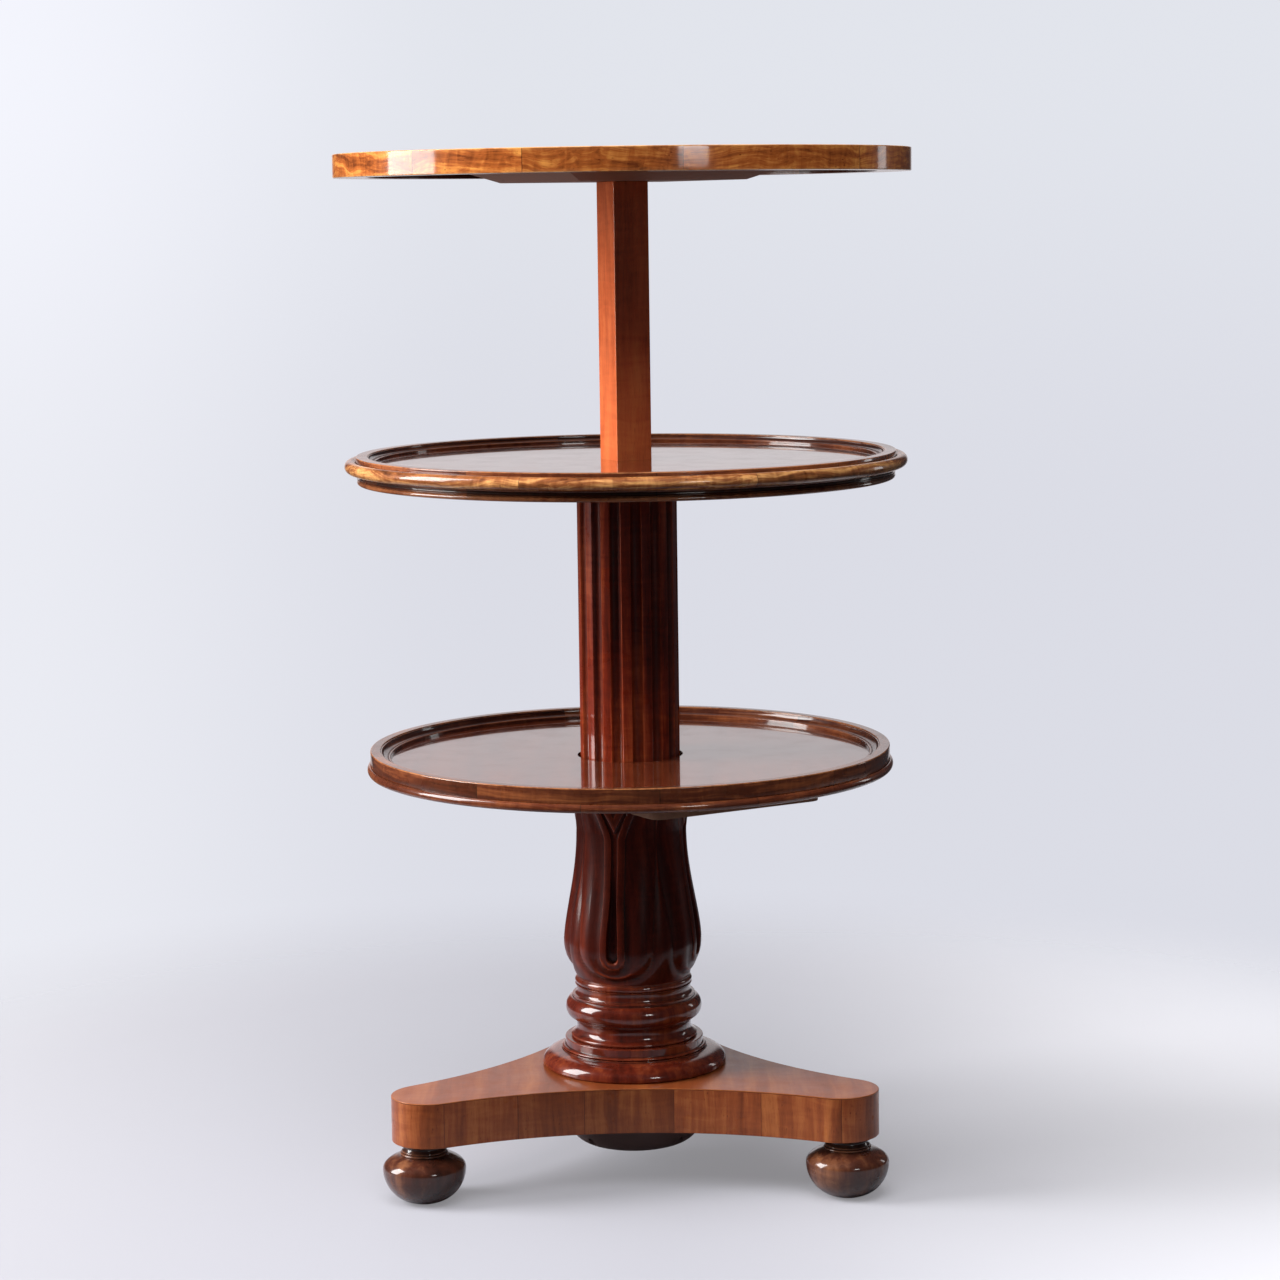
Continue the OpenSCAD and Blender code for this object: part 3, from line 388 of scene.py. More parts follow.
def build_butt_joints():
    """Lines where lengths of wood meet, and a random value for each length."""
    tree, source, sink = new_group(
        "Butt Joints",
        {"Along": 0.0, "Length": 0.2, "Line": 0.0006, "Seed": 0.0},
        {"Joint": "Float", "Board": "Float"},
    )
    place = calc(tree, "DIVIDE", source["Along"], source["Length"])
    place = calc(tree, "ADD", place, source["Seed"])
    edge, board = (
        node(
            tree, "TexVoronoi", {"W": place, "Scale": 1.0, "Randomness": 0.55},
            voronoi_dimensions="1D", feature=feature,
        ).outputs[output]
        for feature, output in (("DISTANCE_TO_EDGE", "Distance"), ("F1", "Color"))
    )
    near = calc(tree, "MULTIPLY", edge, source["Length"])
    near = calc(tree, "DIVIDE", near, source["Line"])
    board = node(tree, "SeparateColor", {0: board}).outputs[0]
    feed(tree, sink, {"Joint": remap(tree, near, 0.4, 1.0, 1.0, 0.0), "Board": board})


def build_old_polish():
    """Two centuries of hands and wax: worn ridges lightened, partly as a painted highlight, dark
    hollows, partly painted shade, scratches and hazy patches.
    """
    tree, source, sink = new_group(
        "Old Polish",
        {
            "Color": (0.1, 0.03, 0.01), "Vector": None, "Ridge": 0.0, "Hollow": 0.0,
            "Rubbed_and_Highlighted": (0.3, 0.1, 0.04), "Grime_and_Shade": (0.01, 0.006, 0.004),
            "Wear_and_Highlight": 0.6, "Dirt_and_Shade": 0.6, "Sheen": 0.3,
        },
        {"Color": "Color", "Roughness": "Float", "Height": "Float"},
    )
    vector = source["Vector"]
    patch = speckle(tree, vector, 26.0, 4.0, 0.6)
    small = speckle(tree, vector, 190.0, 3.0, 0.6)
    broken = calc(tree, "MULTIPLY_ADD", small, 0.4, calc(tree, "MULTIPLY", patch, 0.6))
    # Raised edges are lightened, as worn polish and partly as a painted highlight on the arrises
    rub_and_highlight = remap(tree, broken, 0.36, 0.62, 0.25, 1.0)
    rub_and_highlight = calc(tree, "MULTIPLY", calc(tree, "MULTIPLY", rub_and_highlight, source["Ridge"]), source["Wear_and_Highlight"])
    # Hollows are darkened, as dust and old wax and partly as painted shade in the recesses
    soil_and_shade = remap(tree, broken, 0.3, 0.6, 0.55, 1.0)
    soil_and_shade = calc(tree, "MULTIPLY", calc(tree, "MULTIPLY", soil_and_shade, source["Hollow"]), source["Dirt_and_Shade"])
    # This worn colour is partly a painted highlight on the ridges
    worn = blend(tree, rub_and_highlight, source["Color"], source["Rubbed_and_Highlighted"])
    soiled_and_shaded = blend(tree, soil_and_shade, worn, source["Grime_and_Shade"])
    hair = speckle(tree, stretch(tree, vector, (60, 900, 300), (0.3, 0.2, 0.6)), 1.0, 2.0)
    hair = remap(tree, hair, 0.62, 0.8)
    knock = remap(tree, cell_distance(tree, vector, 42.0), 0.02, 0.075, 1.0, 0.0)
    rough = calc(tree, "ADD", source["Sheen"], remap(tree, patch, 0.3, 0.75, -0.04, 0.09))
    for mark, amount in ((hair, 0.10), (soil_and_shade, 0.30), (rub_and_highlight, 0.08)):
        rough = calc(tree, "MULTIPLY_ADD", mark, amount, rough)
    height = calc(tree, "MULTIPLY_ADD", hair, -0.12, calc(tree, "MULTIPLY", knock, -0.8))
    height = calc(tree, "MULTIPLY_ADD", patch, 0.7, height)
    feed(tree, sink, {"Color": soiled_and_shaded, "Roughness": rough, "Height": height})


def build_metal_patina():
    """Metal that has darkened in patches and kept its shine where it is handled."""
    tree, source, sink = new_group(
        "Metal Patina",
        {
            "Vector": None, "Bright": (0.6, 0.4, 0.15), "Tarnish": (0.2, 0.1, 0.04),
            "Ridge": 0.0, "Amount": 0.6,
        },
        {"Color": "Color", "Roughness": "Float", "Height": "Float"},
    )
    cloud = speckle(tree, source["Vector"], 120.0, 4.0, 0.6)
    spots = speckle(tree, source["Vector"], 700.0, 2.0)
    mask = calc(tree, "MULTIPLY", remap(tree, cloud, 0.35, 0.7), source["Amount"])
    mask = calc(tree, "SUBTRACT", mask, calc(tree, "MULTIPLY", source["Ridge"], 0.6), clamp=True)
    rough = calc(tree, "MULTIPLY_ADD", mask, 0.28, calc(tree, "MULTIPLY_ADD", spots, 0.1, 0.2))
    patina = blend(tree, mask, source["Bright"], source["Tarnish"])
    feed(tree, sink, {"Color": patina, "Roughness": rough, "Height": spots})


def start_material(name):
    """A material with a Principled shader, and the sockets for its place and relief."""
    made = bpy.data.materials.new(name)
    made.use_nodes = True
    tree = made.node_tree
    place = node(tree, "TexCoord").outputs["Object"]
    ridge, hollow = (
        node(tree, "Attribute", attribute_name=relief).outputs["Fac"]
        for relief in ("ridge", "hollow")
    )
    return tree, tree.nodes["Principled BSDF"].inputs, place, ridge, hollow


def bumped(tree, strength, depth, height):
    return node(
        tree, "Bump", {"Strength": strength, "Distance": depth, "Height": height}
    ).outputs["Normal"]


POLISH_IOR = 1.45


def polished_wood(
    name, wood, grain="up", turn=0.0, streak=0.006, wander=0.5, ribbon=0.4, pores=0.5,
    contrast=0.5, radius=0.28, board=0.0, joint=0.0006, board_shift=0.35, seed=0.0,
    sheen=0.3, coat=0.8, coat_rough=0.06, wear_and_highlight=1.0, relief=0.00012, rubbed_and_highlighted=None,
    specks=0.0, shine=0.12,
):
    """A French-polished wood. Its grain runs up, across, round the axis, or up a long edge."""
    finishes = bpy.context.scene.table_finishes
    tree, surface, place, ridge, hollow = start_material(name)
    shift = (seed, seed, seed)
    if grain == "up":
        space = stretch(tree, place, shift=shift)
    elif grain == "across":
        space = stretch(tree, place, turn=(math.radians(90), 0, turn), shift=shift)
    elif grain == "round":
        ring = use_group(tree, "Ring Space", {"Vector": place, "Radius": radius})
        space, along = ring["Vector"], ring["Around"]
    else:
        along = node(tree, "Attribute", attribute_name="along").outputs["Fac"]
        space = combined(tree, along, 0.0, part_of(tree, place, "Z"))
    if board:
        boards = use_group(
            tree, "Butt Joints", {"Along": along, "Length": board, "Line": joint, "Seed": seed}
        )
        jump = calc(tree, "MULTIPLY", boards["Board"], 3.0)
        space = vector_calc(tree, "ADD", space, combined(tree, jump, jump, 0.0))
    dark, mid, light = ((*getattr(finishes, f"{wood}_{tone}"), 1) for tone in TONES)
    grime_and_shade = (*finishes.grime_and_shade, 1)
    figure = use_group(
        tree, "Wood Figure",
        {
            "Vector": space, "Dark": dark, "Mid": mid, "Light": light, "Streak Size": streak,
            "Wander": wander, "Ribbon": ribbon, "Pores": pores, "Contrast": contrast,
        },
    )
    colour = figure["Color"]
    if board:
        shade = remap(
            tree, boards["Board"], 0.0, 1.0, 1 - board_shift, 1 + board_shift, smooth=False
        )
        grey = node(tree, "CombineColor", {0: shade, 1: shade, 2: shade}).outputs[0]
        colour = blend(tree, 1.0, colour, grey, "MULTIPLY")
        colour = blend(tree, calc(tree, "MULTIPLY", boards["Joint"], 0.8), colour, grime_and_shade)
    if specks:
        spot = cell_distance(tree, stretch(tree, space, (260, 260, 130)), 1.0)
        rare = remap(tree, speckle(tree, space, 55.0, 2.0), 0.5, 0.68)
        spot = calc(tree, "MULTIPLY", remap(tree, spot, 0.08, 0.24, 1.0, 0.0), rare)
        colour = blend(tree, calc(tree, "MULTIPLY", spot, specks), colour, dark, "MULTIPLY")
    # The polish lightens the ridges, partly as a painted highlight, and darkens the hollows, partly
    # as painted shade
    polish = use_group(
        tree, "Old Polish",
        {
            "Color": colour, "Vector": place, "Ridge": ridge, "Hollow": hollow,
            "Rubbed_and_Highlighted": rubbed_and_highlighted or light, "Grime_and_Shade": grime_and_shade, "Wear_and_Highlight": wear_and_highlight * finishes.wear_and_highlight,
            "Dirt_and_Shade": finishes.dirt_and_shade, "Sheen": sheen,
        },
    )
    height = calc(tree, "MULTIPLY_ADD", figure["Height"], 0.35, polish["Height"])
    if board:
        height = calc(tree, "MULTIPLY_ADD", boards["Joint"], -1.2, height)
    feed(tree, surface, {
        "Base Color": polish["Color"], "Roughness": polish["Roughness"],
        "Normal": bumped(tree, 0.5, relief, height), "IOR": POLISH_IOR,
        "Specular IOR Level": shine, "Coat Weight": coat, "Coat Roughness": coat_rough,
        "Coat IOR": POLISH_IOR,
    })


def patinated_metal(name, bright, tarnish, amount, relief):
    """Iron with its patina."""
    tree, surface, place, ridge, _ = start_material(name)
    patina = use_group(
        tree, "Metal Patina",
        {
            "Vector": place, "Bright": (*bright, 1), "Tarnish": (*tarnish, 1),
            "Ridge": ridge, "Amount": amount,
        },
    )
    feed(tree, surface, {
        "Base Color": patina["Color"], "Roughness": patina["Roughness"],
        "Normal": bumped(tree, 0.4, relief, patina["Height"]), "Metallic": 1.0,
    })


def make_finishes():
    """Builds the node groups and every new material once.

    The blocks, the post's guide, the well's cap and the brass keep the record's plain colours.
    """
    finishes = bpy.context.scene.table_finishes
    for build in (
        build_ring_space, build_wood_figure, build_butt_joints, build_old_polish,
        build_metal_patina,
    ):
        build()
    # The top edge's pale golden worn colour draws light lines along its arrises, partly a painted
    # highlight
    polished_wood(
        "edge_veneer", "edge", "round", streak=0.0035, wander=1.6, ribbon=0.8, contrast=0.75,
        radius=0.305, board=0.17, joint=0.0005, board_shift=0.12, seed=4.3, coat=0.7,
        coat_rough=0.08, specks=0.85, wear_and_highlight=1.2, pores=0.7, shine=0.04,
        rubbed_and_highlighted=(0.80, 0.42, 0.16, 1),
    )
    polished_wood(
        "platform_top_veneer", "platform", "across", turn=0.4, streak=0.012, contrast=0.25,
        ribbon=0.25, sheen=0.34, coat=0.45, coat_rough=0.16, pores=0.3,
    )
    polished_wood(
        "platform_edge_veneer", "platform", "edge", wander=0.4, contrast=0.55, ribbon=0.5,
        board=0.085, joint=0.0004, board_shift=0.22, seed=2.1, coat=0.45, coat_rough=0.10,
        specks=0.6,
    )
    polished_wood("turned_polish", "turned", streak=0.008, sheen=0.26, coat=0.95,
                  coat_rough=0.05, wear_and_highlight=0.6)
    # The carved leaves' crests are lightened towards red-orange, partly a painted highlight, and
    # their grooves darkened, partly painted shade
    polished_wood("carved_polish", "carved", streak=0.007, contrast=0.15, ribbon=0.2, sheen=0.34,
                  coat=0.3, coat_rough=0.09, wear_and_highlight=1.2, shine=0.08, rubbed_and_highlighted=(0.42, 0.062, 0.018, 1))
    # The column's bright orange worn colour paints highlights along the lands' arrises
    polished_wood("column_polish", "column", contrast=0.4, coat=0.5, wear_and_highlight=0.8,
                  rubbed_and_highlighted=(0.55, 0.11, 0.035, 1))
    polished_wood("post_polish", "post", streak=0.007, contrast=0.45, sheen=0.32, coat=0.45,
                  coat_rough=0.10, wear_and_highlight=0.8)
    polished_wood("panel_polish", "panel", "across", turn=0.1, streak=0.010, contrast=0.4,
                  ribbon=0.35, sheen=0.12, coat=1.0, coat_rough=0.03, wear_and_highlight=0.5, shine=0.2)
    polished_wood("top_polish", "panel", "across", turn=-0.2, streak=0.011, contrast=0.6,
                  ribbon=0.5, sheen=0.20, coat=1.0, coat_rough=0.04, wear_and_highlight=0.5, seed=1.7)
    polished_wood("rim_polish", "rim", "round", streak=0.004, contrast=0.6, board=0.21,
                  board_shift=0.2, seed=7.7, sheen=0.26, coat=0.85, coat_rough=0.07,
                  rubbed_and_highlighted=(0.50, 0.19, 0.065, 1))
    # The beads' pale golden light colour lightens their crests, partly a painted highlight
    polished_wood("bead_polish", "bead", "round", streak=0.0035, wander=1.2, ribbon=0.7,
                  contrast=0.8, radius=0.29, board=0.31, joint=0.0004, board_shift=0.15,
                  seed=3.3, sheen=0.28, coat=0.7, coat_rough=0.07, wear_and_highlight=0.9, specks=0.7)
    polished_wood("moulding_polish", "rim", "round", streak=0.003, contrast=0.4, radius=0.265,
                  board=0.17, board_shift=0.15, seed=9.1, sheen=0.26, coat=0.85,
                  coat_rough=0.07, wear_and_highlight=0.8)
    polished_wood("foot_polish", "foot", streak=0.010, sheen=0.26, coat=0.9)
    patinated_metal("screw_iron", finishes.iron, finishes.iron_dark, 0.9, 0.06 * MM)


# Making pieces


def arc(centre_r, centre_z, reach_r, reach_z, start, end, steps):
    """Points of an elliptical arc between two angles in degrees."""
    points = []
    for i in range(steps + 1):
        a = math.radians(start + (end - start) * i / steps)
        points.append((centre_r + reach_r * math.cos(a), centre_z + reach_z * math.sin(a)))
    return points


def mix(a, b, t):
    return a + (b - a) * t


def clamp01(t):
    return max(0.0, min(1.0, t))


def ease(t):
    """Smooth start and stop between 0 and 1."""
    return (1 - math.cos(math.pi * clamp01(t))) / 2


def eased(section, radius, steps=3, sharpest=24):
    """A closed section with each corner sharper than an angle rounded over."""
    made = []
    count = len(section)
    for i, point in enumerate(section):
        here = Vector(point)
        before, after = Vector(section[i - 1]) - here, Vector(section[(i + 1) % count]) - here
        if before.length < 1e-9 or after.length < 1e-9:
            continue
        bend = 180 - math.degrees(before.angle(after))
        if bend < sharpest or here.x < 1e-9:
            made.append(tuple(here))
            continue
        first = here + before.normalized() * min(radius, before.length * 0.45)
        last = here + after.normalized() * min(radius, after.length * 0.45)
        for k in range(steps + 1):
            t = k / steps
            spot = first * (1 - t) ** 2 + here * 2 * t * (1 - t) + last * t * t
            made.append(tuple(spot))
    return made


def read(items, key, width=1, kind=float):
    """One value, or one row of values, for each vertex, edge, face or loop."""
    values = np.empty(len(items) * width, dtype=kind)
    items.foreach_get(key, values)
    return values.reshape(-1, width) if width > 1 else values


def mark_relief(mesh, rounds, gentle, crisp):
    """Writes how raised and how hollow each place is, from the bend across its edges.

    A bend of gentle, in radians per metre, counts as flat, and crisp more counts in full.
    """
    spots = read(mesh.vertices, "co", 3)
    ends = read(mesh.edges, "vertices", 2, np.int64)
    middles, normals = (read(mesh.polygons, key, 3) for key in ("center", "normal"))
    areas = read(mesh.polygons, "area")
    corners = read(mesh.polygons, "loop_total", kind=np.int64)
    edge_of = read(mesh.loops, "edge_index", kind=np.int64)
    face_of = np.repeat(np.arange(len(corners)), corners)
    # Loops sorted by edge stand in pairs, one for each face that meets there
    order = np.argsort(edge_of, kind="stable")
    edge_of, face_of = edge_of[order], face_of[order]
    paired = np.flatnonzero(edge_of[:-1] == edge_of[1:])
    edges, first, second = edge_of[paired], face_of[paired], face_of[paired + 1]
    size = np.linalg.norm(spots[ends[edges, 0]] - spots[ends[edges, 1]], axis=1)
    between = np.clip((normals[first] * normals[second]).sum(1), -1, 1)
    outward = (normals[first] * (middles[second] - middles[first])).sum(1)
    angle = np.arccos(between) * -np.sign(outward)
    width = (areas[first] + areas[second]) / (2 * np.maximum(size, 1e-9))
    bend = np.where(size > 1e-9, angle / np.maximum(width, 1e-5), 0)
    raised = np.clip((bend - gentle) / crisp, 0, 1)
    sunk = np.clip((-bend - gentle / 2) / (crisp * 0.6), 0, 1)
    vert_count = len(spots)
    neighbours = np.bincount(ends.ravel(), minlength=vert_count)
    for label, amount in (("ridge", raised), ("hollow", sunk)):
        value = np.zeros(vert_count)
        for side in (0, 1):
            np.maximum.at(value, ends[edges, side], amount)
        for _ in range(rounds):
            near = np.bincount(ends[:, 0], value[ends[:, 1]], vert_count)
            near += np.bincount(ends[:, 1], value[ends[:, 0]], vert_count)
            value = (value + near / np.maximum(neighbours, 1)) / 2
        mesh.attributes.new(label, "FLOAT", "POINT").data.foreach_set("value", value)


def spun(section, steps, centre=(0, 0), place=None):
    """A bmesh of a closed half section turned about an upright axis.

    place(row, column, r, z) may give another radius, angle and height for each vertex.
    """
    work = bmesh.new()
    row_of = work.verts.layers.int.new("row")
    spots = []
    for row, (r, z) in enumerate(section):
        vert = work.verts.new((r, 0, z))
        vert[row_of] = row
        spots.append(vert)
    rim = [work.edges.new(pair) for pair in zip(spots, spots[1:])]
    if section[0][0] > 1e-9 or section[-1][0] > 1e-9:
        rim.append(work.edges.new((spots[-1], spots[0])))
    # A short spin is doubled until it goes all round, which is quicker than one long spin
    doublings = next(k for k in (5, 4, 3, 2, 1, 0) if steps % 2 ** k == 0)
    angle = FULL_TURN / 2 ** doublings
    bmesh.ops.spin(
        work, geom=spots + rim, cent=(0, 0, 0), axis=(0, 0, 1), angle=angle,
        steps=steps >> doublings, use_merge=doublings == 0, use_duplicate=False,
    )
    for _ in range(doublings):
        everything = work.verts[:] + work.edges[:] + work.faces[:]
        copied = bmesh.ops.duplicate(work, geom=everything)["geom"]
        turned = [item for item in copied if isinstance(item, bmesh.types.BMVert)]
        bmesh.ops.rotate(work, verts=turned, cent=(0, 0, 0), matrix=Matrix.Rotation(angle, 3, "Z"))
        angle *= 2
    if place:
        for vert in work.verts:
            turn = math.atan2(vert.co.y, vert.co.x) % FULL_TURN
            column = round(turn / FULL_TURN * steps) % steps
            r, angle, z = place(vert[row_of], column, math.hypot(vert.co.x, vert.co.y), vert.co.z)
            vert.co = (r * math.cos(angle), r * math.sin(angle), z)
    work.verts.layers.int.remove(work.verts.layers.int["row"])
    bmesh.ops.remove_doubles(work, verts=work.verts, dist=1e-6)
    bmesh.ops.recalc_face_normals(work, faces=work.faces)
    bmesh.ops.translate(work, verts=work.verts, vec=(centre[0], centre[1], 0))
    return work


def ease_arrises(work, width, segments, bend, levels=None, slide=False):
    """Rounds the edges with at least this bend in degrees, or only those at the given levels."""
    sharp = []
    for edge in work.edges:
        if len(edge.link_faces) != 2 or edge.calc_face_angle(0.0) < math.radians(bend):
            continue
        middle = (edge.verts[0].co.z + edge.verts[1].co.z) / 2
        if levels is None or any(abs(middle - level) < 1e-5 for level in levels):
            sharp.append(edge)
    bmesh.ops.bevel(
        work, geom=sharp, offset=width, offset_type="OFFSET", segments=segments, profile=0.5,
        affect="EDGES", clamp_overlap=True, material=-1, loop_slide=slide,
    )


def copy_of_node(name, width, segments=2, bend=30):
    """A bmesh of a CAD node, its doubles merged, flat faces joined and arrises eased."""
    work = bmesh.new()
    work.from_mesh(frame["nodes"][name].data)
    bmesh.ops.remove_doubles(work, verts=work.verts, dist=1e-6)
    bmesh.ops.dissolve_limit(
        work, angle_limit=math.radians(1), verts=work.verts, edges=work.edges
    )
    ease_arrises(work, width, segments, bend, slide=True)
    return work


def set_piece(name, work, body, nodes, material, relief=(1, 90, 650), weighted=True):
    """Makes the finished object from a bmesh, rides it on its body and hides what it replaces."""
    mesh = bpy.data.meshes.new(name)
    work.to_mesh(mesh)
    work.free()
    mark_relief(mesh, *relief)
    mesh.polygons.foreach_set("use_smooth", [True] * len(mesh.polygons))
    mesh.materials.append(bpy.data.materials[material])
    piece = bpy.data.objects.new(name, mesh)
    bpy.context.scene.collection.objects.link(piece)
    if weighted:
        normals = piece.modifiers.new("even_normals", "WEIGHTED_NORMAL")
        normals.mode = "FACE_AREA"
        normals.weight = 50
    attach(piece, body)
    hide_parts(*nodes)
    return piece


def dress_node(name, material):
    """Gives a CAD node its material."""
    slots = frame["nodes"][name].data.materials
    slots.clear()
    slots.append(bpy.data.materials[material])


def shapes():
    """The shape settings as plain values, which are quick to read."""
    settings = bpy.context.scene.table_shapes
    return SimpleNamespace(**{key: getattr(settings, key) for key in TableShapes.__annotations__})


class TABLE_OT_finishes(Operator):
    """Build the node groups and materials of the table"""

    bl_idname = "tiered_table.finishes"
    bl_label = "Finishes"

    def execute(self, context):
        make_finishes()
        return {"FINISHED"}


# Platform


def platform_outline(inset, end_steps=28, side_steps=60):
    """Outline of the three-armed platform, drawn in from its true edge."""
    sizes = shapes()
    arm_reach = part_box("base_top_veneer")[1].y
    side_r, side_mid = sizes.side_r, sizes.side_mid
    side_x = (side_mid + side_r) * 0.5
    side_y = (side_mid + side_r) * math.sin(math.radians(60))
    end_r = ((side_x - arm_reach) ** 2 + side_y ** 2 - side_r ** 2) / (
        2 * (side_r - side_x + arm_reach)
    )
    end_at = arm_reach - end_r
    lean = math.degrees(math.atan2(side_y, side_x - end_at))
    line = arc(end_at, 0, end_r - inset, end_r - inset, -lean, lean, end_steps)
    hollow = arc(
        side_x, side_y, side_r + inset, side_r + inset, 180 + lean, 300 - lean, side_steps
    )
    line += hollow[1:-1]
    outline = []
    for turn in (90, 210, 330):
        c, s = math.cos(math.radians(turn)), math.sin(math.radians(turn))
        outline += [(x * c - y * s, x * s + y * c) for x, y in line]
    return outline


def ring_between(outer, inner, low_z, high_z):
    """A flat board with a hole: two loops bridged, then drawn up to its thickness."""
    work = bmesh.new()
    loops = []
    for line in (outer, inner):
        spots = [work.verts.new((x, y, low_z)) for x, y in line]
        loops.append([work.edges.new(pair) for pair in zip(spots, spots[1:] + spots[:1])])
    bmesh.ops.bridge_loops(work, edges=loops[0] + loops[1])
    grown = bmesh.ops.extrude_face_region(work, geom=list(work.faces))["geom"]
    raised = [item for item in grown if isinstance(item, bmesh.types.BMVert)]
    bmesh.ops.translate(work, verts=raised, vec=(0, 0, high_z - low_z))
    bmesh.ops.recalc_face_normals(work, faces=work.faces)
    return work


class TABLE_OT_platform(Operator):
    """Make the platform's veneered top and edge"""

    bl_idname = "tiered_table.platform"
    bl_label = "Platform"

    def execute(self, context):
        sizes = shapes()
        low_z, high_z = levels_of("base_top_veneer")
        outline = platform_outline(0)
        count = len(outline)
        hole = []
        for x, y in outline:
            turn = math.atan2(y, x)
            hole.append((sizes.well_r * math.cos(turn), sizes.well_r * math.sin(turn)))
        top = ring_between(outline, hole, low_z, high_z)
        ease_arrises(top, sizes.arris, 3, 50, [high_z])
        set_piece("platform_top", top, "base", ["base_top_veneer"],
                  "platform_top_veneer")
        veneer_t = high_z - low_z
        edge_low, edge_high = levels_of("base_edge_veneer")
        band = ring_between(outline, platform_outline(veneer_t), edge_low, edge_high)
        ease_arrises(band, sizes.arris, 3, 50, [edge_low])
        along = band.verts.layers.float.new("along")
        tree = kdtree.KDTree(count)
        travel = 0.0
        distances = []
        for i, (x, y) in enumerate(outline):
            tree.insert((x, y, 0), i)
            distances.append(travel)
            following = outline[(i + 1) % count]
            travel += math.dist((x, y), following)
        tree.balance()
        for vert in band.verts:
            _, index, _ = tree.find((vert.co.x, vert.co.y, 0))
            vert[along] = distances[index]
        set_piece("platform_edge", band, "base", ["base_edge_veneer"],
                  "platform_edge_veneer")
        dress_node("base_core", "carcase_wood")
        return {"FINISHED"}


class TABLE_OT_feet(Operator):
    """Turn the three bun feet"""

    bl_idname = "tiered_table.feet"
    bl_label = "Bun feet"

    def execute(self, context):
        for name in ("foot_front_left", "foot_front_right", "foot_back"):
            low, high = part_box(name)
            centre = (low + high) / 2
            foot_h = levels_of("base_edge_veneer")[0]
            bun_r = (high.x - low.x) / 2
            work = spun(self.section(foot_h, high.z, bun_r), 160, (centre.x, centre.y))
            set_piece(name + "_turned", work, "base", [name], "foot_polish")
        return {"FINISHED"}

    def section(self, foot_h, spigot_top, bun_r):
        heart_r, ring_r, neck_r, spigot_r = 8 * MM, 27 * MM, 21 * MM, 12.5 * MM
        bun_z = foot_h * 0.55
        bun_top = foot_h * 0.26
        shoulder = 62
        step_z = bun_z + bun_top * math.sin(math.radians(shoulder))
        ring_h, bead_h, quirk_h, cove_h = 3.3 * MM, 1.4 * MM, 1.1 * MM, 3 * MM
        swell = bun_r - heart_r
        line = [(0, 0), (heart_r + swell * math.cos(math.radians(77)), 0)]
        line += arc(heart_r, bun_z, swell, bun_z * 1.02, -76, 0, 30)
        line += arc(heart_r, bun_z, swell, bun_top, 3, shoulder, 22)
        line += arc(neck_r + 2.6 * MM, step_z + bead_h, 1.7 * MM, bead_h, -80, 80, 10)
        line += arc(
            neck_r + 1.3 * MM, step_z + 2 * bead_h + quirk_h, 1.5 * MM, quirk_h, -80, 80, 8
        )
        line += arc(ring_r, foot_h - ring_h - cove_h, ring_r - neck_r, cove_h, 200, 110, 10)
        line += arc(ring_r - 1 * MM, foot_h - ring_h / 2, 1 * MM, ring_h / 2, -90, 90, 10)
        line += [(spigot_r, foot_h), (spigot_r, spigot_top), (0, spigot_top)]
        return line


PLINTH_R = 75 * MM


